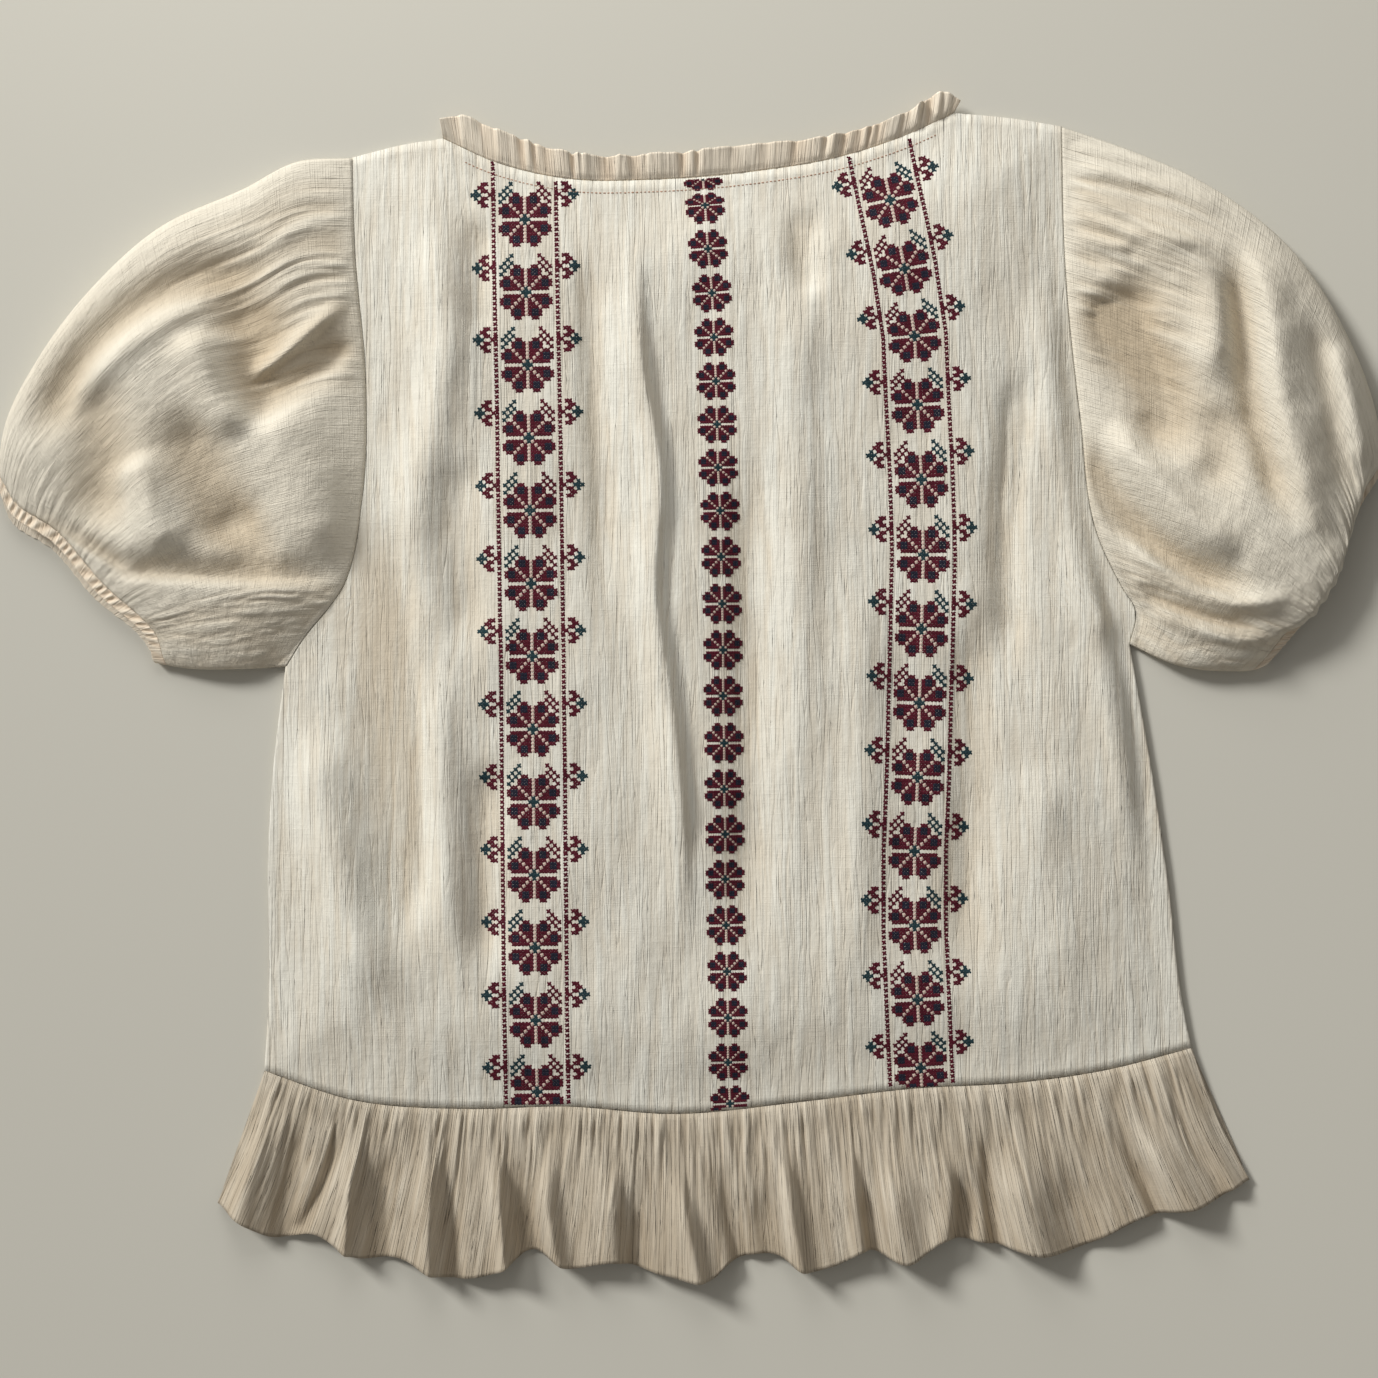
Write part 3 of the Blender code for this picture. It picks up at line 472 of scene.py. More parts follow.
def ease(low, high, value):
    """Smooth step from 0 at low to 1 at high."""
    f = np.clip((value - low) / (high - low), 0.0, 1.0)
    return f * f * (3 - 2 * f)


def shifted(line, distance):
    """A line moved sideways, to its left as it runs."""
    step = np.gradient(line, axis=0)
    side = np.stack([-step[:, 1], step[:, 0]], axis=1)
    return line + distance * side / np.linalg.norm(side, axis=1, keepdims=True)


def uneven(fraction, waves, sway):
    """Phase of a row of waves whose spacing drifts a little along the row."""
    drift = np.sin(2 * np.pi * 3.3 * fraction + 0.7) + 0.7 * np.sin(2 * np.pi * 7.1 * fraction + 2.0)
    return 2 * np.pi * (waves * fraction + sway * drift * np.sin(np.pi * fraction))


def fold_height(plan, folds, start_fade=0.2, end_fade=0.25):
    """Height that the folds add at each plan point. A slim fold fades in and out over the given
    shares of its length, and a stubby one ends round."""
    total = np.zeros(plan.shape[:-1])
    for fold in folds:
        route = smooth_line(fold.points, 6) + fold.half_width * np.array(CREST_OFFSET)
        run = lengths(route)
        margin = 3 * fold.half_width
        low, high = route.min(axis=0) - margin, route.max(axis=0) + margin
        near = np.all((plan > low) & (plan < high), axis=-1)
        spots = plan[near]
        gap = np.full(len(spots), np.inf)
        place = np.zeros(len(spots))
        turn = np.zeros(len(spots))
        for k in range(len(route) - 1):
            step = route[k + 1] - route[k]
            offset = spots - route[k]
            g = np.clip((offset @ step) / (step @ step), 0.0, 1.0)
            aside = offset - g[:, None] * step
            distance = np.linalg.norm(aside, axis=1)
            cross = step[0] * aside[:, 1] - step[1] * aside[:, 0]
            closer = distance < gap
            gap = np.where(closer, distance, gap)
            turn = np.where(closer, cross / (np.linalg.norm(step) * distance + SMALL), turn)
            place = np.where(closer, (run[k] + g * (run[k + 1] - run[k])) / run[-1], place)
        steep = (1 - STEEP) * abs(fold.lean) * ease(-1.0, 1.0, turn * fold.lean)
        width = fold.half_width * (1 - steep)
        slim = ease(STUBBY, SLIM, run[-1] / fold.half_width)
        fade = 1 - slim * (1 - ease(0.0, start_fade, place))
        if end_fade > 0:
            fade = fade * (1 - slim * (1 - ease(0.0, end_fade, 1 - place)))
        total[near] += fold.rise * np.exp(-(gap / width) ** 2) * fade
    return total


def distance_to(line, plan, chunk=4000):
    """Distance of each plan point from the nearest of a line's points."""
    flat = plan.reshape(-1, 2)
    gap = np.empty(len(flat))
    for k in range(0, len(flat), chunk):
        gap[k:k + chunk] = np.linalg.norm(flat[k:k + chunk, None] - line[None], axis=-1).min(axis=1)
    return gap.reshape(plan.shape[:-1])


def noise(x, y, seed):
    """Smooth noise from 0 to 1, with about one bump for each unit of x and y."""
    size = 512
    table = np.random.default_rng(seed).random((size, size))
    ix, iy = np.floor(x).astype(int), np.floor(y).astype(int)
    fx, fy = x - ix, y - iy
    fx, fy = fx * fx * (3 - 2 * fx), fy * fy * (3 - 2 * fy)
    low = table[ix % size, iy % size] * (1 - fx) + table[(ix + 1) % size, iy % size] * fx
    high = table[ix % size, (iy + 1) % size] * (1 - fx) + table[(ix + 1) % size, (iy + 1) % size] * fx
    return low * (1 - fy) + high * fy


def crinkle(x, y, seed, pitch):
    """Gauze's irregular creases that run along y: 0 in a crease, about 1 on the cloth between."""
    drift = 9.0 * noise(x / 26, y / 110, seed) + 3.2 * noise(x / 9, y / 34, seed + 1)
    broad = noise((x + drift) / pitch, y / 58, seed + 2)
    narrow = noise((x + 0.8 * drift) / (0.58 * pitch), y / 26, seed + 3)
    creases = np.sqrt((2 * broad - 1) ** 2 + 0.01)
    threads = np.sqrt((2 * narrow - 1) ** 2 + 0.02)
    return 0.62 * creases + 0.38 * threads


def dents(x, y, size, seed):
    """Soft shallow dents, from -1 to 1."""
    wide = noise(x / size, y / size, seed)
    small = noise(x / (0.45 * size) + 7.3, y / (0.45 * size) + 2.1, seed + 1)
    return 1.4 * (wide - 0.5) + 0.6 * (small - 0.5)


def fold_shade(folds, most):
    """Painted shade at the bottom of the folds: how much deeper the tone is there."""
    return np.clip(-folds / FOLD_SHADE_DEPTH, 0.0, most)


def raise_plan(plan, height):
    """Points at a height above each plan point."""
    return np.concatenate([plan, np.broadcast_to(height, plan.shape[:2])[..., None]], axis=-1)


def add_object(name, data):
    """A new object in the scene."""
    thing = bpy.data.objects.new(name, data)
    bpy.context.scene.collection.objects.link(thing)
    return thing


def make_shell(node, points, grain, painted_shade, material, closed=False):
    """A thin shell through a grid of points, which stands for a node. Grain holds each
    point's place on the cut cloth, and the grid after it the painted shade of each point: how much its
    colour darkens where it lies low in a crease or fold."""
    name = node + "_cloth"
    rows, columns = points.shape[:2]
    spans = columns if closed else columns - 1
    r, c = np.meshgrid(np.arange(rows - 1), np.arange(spans), indexing="ij")
    following = (c + 1) % columns
    quads = np.stack([r * columns + c, (r + 1) * columns + c,
                      (r + 1) * columns + following, r * columns + following], axis=-1)
    mesh = bpy.data.meshes.new(name)
    mesh.from_pydata((points.reshape(-1, 3) * METRES).tolist(), [], quads.reshape(-1, 4).tolist())
    places = np.stack([grain[r, c], grain[r + 1, c], grain[r + 1, c + 1], grain[r, c + 1]], axis=2)
    mesh.uv_layers.new(name="grain").data.foreach_set("uv", (places * METRES).ravel())
    # The painted shade of each point, which the cloth's material reads to deepen its tone
    depth = mesh.attributes.new("painted_shade", "FLOAT", "POINT")
    depth.data.foreach_set("value", np.clip(painted_shade, 0.0, 1.0).ravel())
    mesh.shade_smooth()
    mesh.materials.append(material)
    piece = add_object(name, mesh)
    thickness = piece.modifiers.new("thickness", "SOLIDIFY")
    thickness.thickness = SHELL * METRES
    thickness.offset = -1.0
    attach(piece, "root")
    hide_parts(node)
    return piece


class Nodes:
    """A material's node tree, and short ways to add to it."""

    def __init__(self, name, roughness, sheen, specular=0.2):
        self.material = bpy.data.materials.new(name)
        self.material.use_nodes = True
        self.tree = self.material.node_tree
        self.shader = self.tree.nodes["Principled BSDF"]
        self.fill(self.shader, {"Roughness": roughness, "Sheen Weight": sheen,
                                "Specular IOR Level": specular})

    def fill(self, node, inputs):
        """Gives each named input of a node a value or another node's output."""
        for name, value in inputs.items():
            if isinstance(value, bpy.types.NodeSocket):
                self.tree.links.new(value, node.inputs[name])
            else:
                node.inputs[name].default_value = value

    def add(self, kind, inputs):
        """A new node with its inputs filled."""
        node = self.tree.nodes.new("ShaderNode" + kind)
        self.fill(node, inputs)
        return node

    def grain(self, across, lengthwise):
        """Places on the cut cloth, in units of the given sizes in millimetres."""
        place = self.add("UVMap", {})
        place.uv_map = "grain"
        scale = (1 / (across * METRES), 1 / (lengthwise * METRES), 1.0)
        return self.add("Mapping", {"Vector": place.outputs["UV"], "Scale": scale}).outputs["Vector"]

    def noise(self, across, lengthwise, detail=2.0, rough=0.5):
        """Noise from 0 to 1, with about one bump in each of the given sizes."""
        texture = self.add("TexNoise", {"Vector": self.grain(across, lengthwise), "Scale": 1.0,
                                        "Detail": detail, "Roughness": rough})
        return texture.outputs["Fac"]

    def attribute(self, name):
        """A value that each point of the mesh holds."""
        reader = self.add("Attribute", {})
        reader.attribute_name = name
        return reader.outputs["Fac"]

    def math(self, operation, value, number=0.0):
        """The result of an operation on a value and a number."""
        node = self.add("Math", {0: value, 1: number})
        node.operation = operation
        return node.outputs["Value"]

    def spread(self, value, low, high):
        """Stretches the values between low and high to 0 and 1."""
        ramp = self.add("MapRange", {"Value": value, "From Min": low, "From Max": high})
        return ramp.outputs["Result"]

    def crease(self, across, lengthwise, width):
        """1 along thin wandering lines and 0 between them."""
        level = self.noise(across, lengthwise, 1.0, 0.4)
        return self.spread(self.math("ABSOLUTE", self.math("SUBTRACT", level, 0.5)), width, 0.0)

    def mix(self, amount, first, second):
        """Colour between two, each a colour or another node's output."""
        blend = self.tree.nodes.new("ShaderNodeMix")
        blend.data_type = "RGBA"
        sockets = {socket.name: socket for socket in blend.inputs if socket.type == "RGBA"}
        for name, colour in (("A", first), ("B", second)):
            if isinstance(colour, tuple):
                sockets[name].default_value = (*colour, 1.0)
            else:
                self.tree.links.new(colour, sockets[name])
        self.tree.links.new(amount, blend.inputs[0])
        return [socket for socket in blend.outputs if socket.type == "RGBA"][0]

    def deepen(self, tone, amount, share, deep):
        """A tone mixed with a deeper one, by a share of the amount."""
        return self.mix(self.math("MULTIPLY", amount, share), tone, deep)

    def bump(self, height, rise, below=None):
        """Relief of the given rise in millimetres, on top of the relief below it."""
        relief = self.add("Bump", {"Height": height, "Distance": rise * METRES})
        if below is not None:
            self.tree.links.new(below, relief.inputs["Normal"])
        return relief.outputs["Normal"]

    def finish(self, colour, normal):
        """The material, with its colour and relief."""
        self.fill(self.shader, {"Base Color": colour, "Normal": normal})
        return self.material


# How strong each kind of relief is on a cloth, in millimetres. The crease strength also sets how much
# painted shade lies along the creases and threads.
GauzeRelief = namedtuple("GauzeRelief", "crease thread slub crumple")


def make_gauze(name, light, deep, relief):
    """Cotton gauze with thin creases along its grain and slubs both ways, with painted shade in its
    hollows and along its creases.
    """
    cloth = Nodes(name, roughness=0.9, sheen=0.06)
    creases = cloth.crease(4.2, 110.0, 0.030)
    threads = cloth.crease(1.9, 60.0, 0.040)
    warp = cloth.spread(cloth.noise(0.6, 22.0), 0.5, 0.75)
    weft = cloth.spread(cloth.noise(26.0, 0.7), 0.5, 0.75)
    weave = cloth.noise(0.7, 0.7, 1.0)
    crumple = cloth.noise(9.0, 12.0, 3.0, 0.55)
    patches = cloth.noise(60.0, 90.0, 3.0)
    # Painted shade: the tone deepens where a point lies low in a crease or fold, and along the thin
    # creases and threads
    tone = cloth.deepen(light, cloth.attribute("painted_shade"), 0.7, deep)
    tone = cloth.deepen(tone, creases, 0.55 * relief.crease, deep)
    tone = cloth.deepen(tone, threads, 0.3 * relief.crease, deep)
    tone = cloth.deepen(tone, cloth.spread(patches, 0.35, 0.7), 0.14, deep)
    normal = cloth.bump(cloth.math("MULTIPLY", creases, -1.0), relief.crease)
    normal = cloth.bump(cloth.math("MULTIPLY", threads, -1.0), relief.thread, normal)
    normal = cloth.bump(crumple, relief.crumple, normal)
    normal = cloth.bump(weave, 0.06, normal)
    normal = cloth.bump(warp, relief.slub, normal)
    normal = cloth.bump(weft, relief.slub, normal)
    return cloth.finish(tone, normal)


def make_thread(name, light, deep):
    """Stranded cotton with fine strands and a slight sheen."""
    thread = Nodes(name, roughness=0.8, sheen=0.0)
    strands = thread.noise(0.25, 0.25)
    fading = thread.noise(6.0, 6.0)
    tone = thread.mix(thread.spread(fading, 0.3, 0.75), light, deep)
    return thread.finish(tone, thread.bump(strands, 0.15))


def panel_plan(neck, column_step, row_step):
    """Plan grid of a body panel, whose rows run from its neck to its hem."""
    tops = [evenly(smooth_line(line), column_step) for line in (SHOULDER_LEFT, neck, SHOULDER_RIGHT)]
    first = np.vstack([tops[0][:-1], tops[1], tops[2][1:]])
    lefts = [evenly(smooth_line(line), row_step) for line in (ARMHOLE_LEFT, SIDE_LEFT)]
    rights = [along(smooth_line(line), np.linspace(0.0, 1.0, len(match)))
              for line, match in zip((ARMHOLE_RIGHT, SIDE_RIGHT), lefts)]
    left = np.vstack([lefts[0], lefts[1][1:]])
    right = np.vstack([rights[0], rights[1][1:]])
    run = np.concatenate([[0.0], np.cumsum(np.abs(np.diff(first[:, 0])))])
    across = run / run[-1]
    down = lengths(left) / lengths(left)[-1]
    last = along(smooth_line(HEM_SEAM), across)
    return patch(first, last, left, right, across, down)


def strip_calm(plan):
    """1 on plain cloth, less where the embroidery holds the gauze flat."""
    calm = np.ones(plan.shape[:-1])
    widths = ((STRIP_LEFT, WIDE_CALM), (STRIP_RIGHT, WIDE_CALM), (STRIP_CENTRE, SMALL_CALM))
    for centres, half_width in widths:
        line = np.array(centres)[::-1]
        offset = np.abs(plan[..., 0] - np.interp(plan[..., 1], line[:, 1], line[:, 0]))
        calm = calm - 0.5 * ease(half_width + CALM_OUTSIDE, half_width - CALM_INSIDE, offset)
    return calm


def make_back_panel(gauze):
    """The back, crinkled from neck to hem, with a stitched channel along its neckline."""
    plan = panel_plan(NECK_BACK, PANEL_COLUMN_STEP, PANEL_ROW_STEP)
    border = np.vstack([plan[0], plan[-1], plan[:, 0], plan[:, -1]])
    inside = distance_to(border, plan)
    x, y = plan[..., 0], plan[..., 1]
    folds = PANEL_FOLD_STRENGTH * fold_height(plan, PANEL_FOLDS)
    lift = PANEL_CROWN * ease(0.0, PANEL_CROWN_REACH, inside)
    lift = lift + folds * ease(0.0, PANEL_FOLD_REACH, inside)
    soft = dents(x, 0.6 * y, PANEL_DENT_SIZE, PANEL_DENT_SEED)
    lift = lift + PANEL_DENT_DEPTH * soft * ease(0.0, PANEL_DENT_SIZE, inside)
    from_neck = distance_to(evenly(smooth_line(NECK_BACK), 1.0), plan)
    past = from_neck - CHANNEL_DEPTH
    ribs = crinkle(x, 4.0 * from_neck, CHANNEL_SEED, CHANNEL_RIB_PITCH) - CREASE_LEVEL
    channel = (CHANNEL_RISE + CHANNEL_RIB * ribs) * ease(1.0, -2.0, past)
    channel = channel - CHANNEL_GROOVE * np.exp(-(past / CHANNEL_GROOVE_WIDTH) ** 2)
    channel = channel + CHANNEL_RIB * ribs * np.exp(-(past / CHANNEL_RIB_REACH) ** 2)
    creases = crinkle(x, y, PANEL_SEED, CRINKLE_PITCH)
    relief = CRINKLE_HEIGHT * strip_calm(plan) * (creases - CREASE_LEVEL)
    relief = relief * (0.5 + 0.5 * ease(0.0, PANEL_EDGE_REACH, inside))
    height = np.maximum(TOP + np.maximum(lift, 0.0) + relief + channel, LOWEST_TOP)
    # Painted shade: a deeper tone in the crinkles' creases and at the bottom of the folds
    painted_shade = 0.65 - 1.1 * creases + fold_shade(folds, 0.6)
    return make_shell("back_panel", raise_plan(plan, height), plan, painted_shade, gauze)


def make_front_panel(gauze):
    """The front, which lies flat under the back."""
    plan = panel_plan(NECK_FRONT, FRONT_COLUMN_STEP, FRONT_ROW_STEP)
    creases = crinkle(plan[..., 0], plan[..., 1], FRONT_SEED, FRONT_CRINKLE_PITCH)
    height = WALL - FRONT_SUNK + FRONT_CRINKLE_HEIGHT * creases
    # Painted shade: a deeper tone in the crinkles' creases
    return make_shell("front_panel", raise_plan(plan, height), plan, 0.9 - 1.3 * creases, gauze)


def strip_grid(seam, free, reach):
    """Plan grid of a narrow strip, whose rows run from its seam to its free edge."""
    return seam[None] + reach[..., None] * (free - seam)[None]


def cut_places(across, down, fullness):
    """Places on the cut cloth of a gathered strip."""
    return np.stack(np.broadcast_arrays(across * fullness, down), axis=-1)


def make_hem_ruffle_back(gauze):
    """A gathered strip under the back's hem seam, in flutes and larger lobes."""
    columns, rows = HEM_BACK_GRID
    u = np.linspace(0.0, 1.0, columns)
    down = np.linspace(0.0, 1.0, rows) ** 0.9
    free_line = smooth_line(HEM_FREE_EDGE)
    seam = along(shifted(smooth_line(HEM_SEAM), -SEAM_OPENING), u)
    start = along(smooth_line(HEM_END_LEFT), down)
    end = along(smooth_line(HEM_END_RIGHT), down)
    start[0], end[0] = seam[0], seam[-1]
    plan = patch(seam, along(free_line, u), start, end, u, down)
    v = down[:, None]
    calm = ease(0.0, 0.02, u) * ease(0.0, 0.02, 1 - u)
    x, y = np.broadcast_arrays(u[None] * lengths(free_line)[-1], v * HEM_RUFFLE_DEPTH)
    gathers = crinkle(x, y, HEM_GATHER_SEED, HEM_GATHER_PITCH)
    fine = crinkle(x, y, HEM_CREASE_SEED, HEM_CRINKLE_PITCH)
    folds = HEM_FOLD_STRENGTH * fold_height(plan, HEM_FOLDS, HEM_FOLD_FADE, 0.0)
    folds = folds * ease(0.0, HEM_FOLD_START, v)
    rise = HEM_RUFFLE_LIFT + HEM_RUFFLE_FLARE * v + folds
    rise = rise + HEM_GATHER_HEIGHT * (gathers - 0.5) * ease(0.9, 0.05, v)
    rise = rise + HEM_CRINKLE_HEIGHT * (fine - CREASE_LEVEL) * (1 - 0.35 * v)
    height = np.maximum(TOP + calm * rise * ease(-0.06, 0.12, v), LOWEST_TOP)
    # Painted shade: a deeper tone between the gathers, in the fine creases and at the bottom of the
    # folds
    painted_shade = 1.15 - 1.5 * gathers * (1 - 0.4 * v) - 0.5 * fine + fold_shade(folds, 0.5)
    grain = cut_places(x, y, HEM_RUFFLE_FULLNESS)
    return make_shell("hem_ruffle_back", raise_plan(plan, height), grain, painted_shade, gauze)


def make_hem_ruffle_front(gauze):
    """A gathered strip under the front's hem seam, flat and slightly shorter."""
    columns, rows = HEM_FRONT_GRID
    u = np.linspace(0.0, 1.0, columns)
    reach = np.linspace(0.0, 1.0, rows)[:, None]
    free_line = smooth_line(HEM_FREE_EDGE)
    seam = along(shifted(smooth_line(HEM_SEAM), -SEAM_OPENING), u)
    free = along(free_line, u)
    inward = (seam - free) / np.linalg.norm(seam - free, axis=1, keepdims=True)
    shorter = HEM_FRONT_SHORTER + HEM_SCALLOP * np.cos(2 * np.pi * HEM_SCALLOPS * u)
    plan = strip_grid(seam, free + inward * shorter[:, None], reach)
    wave = 0.5 - 0.5 * np.cos(uneven(u, HEM_WAVES, HEM_WAVE_DRIFT))
    height = WALL - HEM_WAVE_HEIGHT + HEM_WAVE_HEIGHT * wave[None] * reach
    grain = cut_places(u[None] * lengths(free_line)[-1], reach * HEM_RUFFLE_DEPTH, HEM_RUFFLE_FULLNESS)
    # Painted shade: a deeper tone where the waves dip
    painted_shade = np.broadcast_to(0.6 - 0.5 * wave[None], height.shape)
    return make_shell("hem_ruffle_front", raise_plan(plan, height), grain, painted_shade, gauze)


def make_neck_ruffle_back(gauze):
    """A narrow gathered strip along the back's neckline, in flutes."""
    columns, rows = NECK_BACK_GRID
    u = np.linspace(0.0, 1.0, columns)
    v = np.linspace(0.0, 1.0, rows)[:, None]
    neckline = smooth_line(NECK_BACK)
    seam = along(shifted(neckline, SEAM_OPENING), u)
    free = along(smooth_line(NECK_FREE_EDGE), u)
    x = u[None] * lengths(neckline)[-1] + 1.5 * v
    y = np.broadcast_to(NECK_RUFFLE_DEPTH * v, x.shape)
    flute = crinkle(x, 0.6 * y, NECK_FLUTE_SEED, NECK_FLUTE_PITCH)
    small = crinkle(x, y, NECK_CREASE_SEED, NECK_CREASE_PITCH)
    outward = (free - seam) / np.linalg.norm(free - seam, axis=1, keepdims=True)
    free = free + (NECK_SCALLOP * (flute[-1] - 0.6))[:, None] * outward
    rise = (NECK_FLUTE_SEAM + (NECK_FLUTE_FREE - NECK_FLUTE_SEAM) * v) * flute
    rise = rise + (1.2 * v + 0.35 * small) * ease(0.0, 0.3, v)
    points = raise_plan(strip_grid(seam, free, v), TOP + rise * ease(-0.05, 0.2, v))
    grain = cut_places(x, y, NECK_RUFFLE_FULLNESS)
    # Painted shade: a deeper tone between the flutes
    painted_shade = 0.85 - 1.7 * flute
    return make_shell("neck_ruffle_back", points[::-1], grain[::-1], painted_shade[::-1], gauze)


def make_neck_ruffle_front(gauze):
    """A narrow gathered strip along the front's neckline, flat."""
    columns, rows = NECK_FRONT_GRID
    u = np.linspace(0.0, 1.0, columns)
    reach = np.linspace(0.0, 1.0, rows)[:, None]
    neckline = smooth_line(NECK_FRONT)
    seam = along(shifted(neckline, SEAM_OPENING), u)
    free = along(shifted(neckline, NECK_RUFFLE_DEPTH), u)
    flute = np.cos(2 * np.pi * NECK_FRONT_FLUTES * u)
    free = seam + (1.0 + 0.05 * flute)[:, None] * (free - seam)
    height = WALL - 0.5 * (0.5 + 0.5 * flute[None]) * reach
    points = raise_plan(strip_grid(seam, free, reach), height)
    run = lengths(smooth_line(NECK_BACK))[-1]
    grain = cut_places(u[None] * run, reach * NECK_RUFFLE_DEPTH, NECK_RUFFLE_FULLNESS)
    # Painted shade: a deeper tone where the strip dips between its flutes
    painted_shade = np.broadcast_to(0.35 * (1 + flute[None]), height.shape)
    return make_shell("neck_ruffle_front", points[::-1], grain[::-1], painted_shade[::-1], gauze)


def ring_places(shown_points, hidden_points):
    """Around a sleeve's ring: the share of the way from its upper to its lower edge, and
    whether each point is on the layer that shows."""
    f = np.linspace(0.0, 1.0, shown_points)
    shown = f - 0.045 * np.sin(2 * np.pi * f) / np.pi
    hidden = np.linspace(0.985, 0.015, hidden_points)
    return np.concatenate([shown, hidden]), np.arange(shown_points + hidden_points) < shown_points


def sleeve_plan(sleeve, across, back, share):
    """Plan points of a sleeve: a share of the way from the armhole to the distance that the
    point keeps back from the sleeve's outline at the cuff."""
    armhole = shifted(smooth_line(sleeve.armhole), sleeve.side * SEAM_OPENING)
    upper, lower = smooth_line(sleeve.upper_edge), smooth_line(sleeve.lower_edge)
    cuff = smooth_line(sleeve.cuff_edge)
    spread = (1 - across) * UPPER_EDGE_RUN + across * LOWER_EDGE_RUN
    down = share * (1 - back / spread)
    u, v = across[..., None], down[..., None]
    seam = along(armhole, across.ravel()).reshape(*across.shape, 2)
    brim = along(cuff, across.ravel()).reshape(*across.shape, 2)
    top = along(upper, down.ravel()).reshape(*across.shape, 2)
    base = along(lower, down.ravel()).reshape(*across.shape, 2)
    corners = ((1 - u) * (1 - v) * upper[0] + u * (1 - v) * lower[0]
               + (1 - u) * v * upper[-1] + u * v * lower[-1])
    return (1 - v) * seam + v * brim + (1 - u) * top + u * base - corners


def roundness(across):
    """How far a ring has risen from its edges, 0 at an edge and 1 in the middle."""
    return np.sqrt(1 - np.abs(2 * across - 1) ** 4)


def wrap(rings, side):
    """Rings in the order that turns a shell's faces outward, on either side."""
    return rings[:, ::-1] if side > 0 else rings


def closed_grain(ring, shown, share, side, around, lengthwise):
    """Places on the cut cloth round a tube, with the first column again at its end."""
    turn = np.where(shown, ring, 2.0 - ring)
    if side > 0:
        turn = turn[::-1]
        turn = np.append(turn, turn[-1] - 0.01)
    else:
        turn = np.append(turn, 2.0)
    u, v = np.broadcast_arrays(turn[None] * around, share[:, None] * lengthwise)
    return np.stack([u, v], axis=-1)


def puff(sleeve, across, s):
    """Height of a sleeve's middle before its folds, at shares of its width and length."""
    swell = np.maximum(np.sin(np.pi * s), 0.0) ** 0.75 * (1 - PUFF_FALL * across**2)
    crest = FLAT_TUBE * (1 - s) + sleeve.end_height * s
    return crest + (PUFF_HEIGHT - (FLAT_TUBE + sleeve.end_height) / 2) * swell


def armhole_fan(across, s):
    """How strong the gathers are that fan out from the armhole."""
    fan = ease(ARMHOLE_GATHERS_FROM - 0.02, ARMHOLE_GATHERS_FROM + 0.06, across)
    fan = fan * ease(ARMHOLE_GATHERS_TO + 0.06, ARMHOLE_GATHERS_TO - 0.06, across)
    return fan * ease(0.0, 0.05, s) * ease(0.62, 0.03, s)


def puff_dents(plan, side):
    """Wide and small dents over a puff."""
    x, y = plan[..., 0], plan[..., 1]
    wide = dents(x, y, WIDE_DENT, WIDE_DENT_SEED + side)
    return WIDE_DENT_DEPTH * wide + SMALL_DENT_DEPTH * dents(x, y, SMALL_DENT, SMALL_DENT_SEED + side)


def edge_height(s):
    """Height of a sleeve's edges along it, from the armhole to the cuff."""
    edge = TUBE_EDGE + (SLEEVE_EDGE_HEIGHT - TUBE_EDGE) * ease(0.0, 0.45, s)
    return edge + (CUFF_EDGE_HEIGHT - SLEEVE_EDGE_HEIGHT) * ease(0.55, 1.0, s)


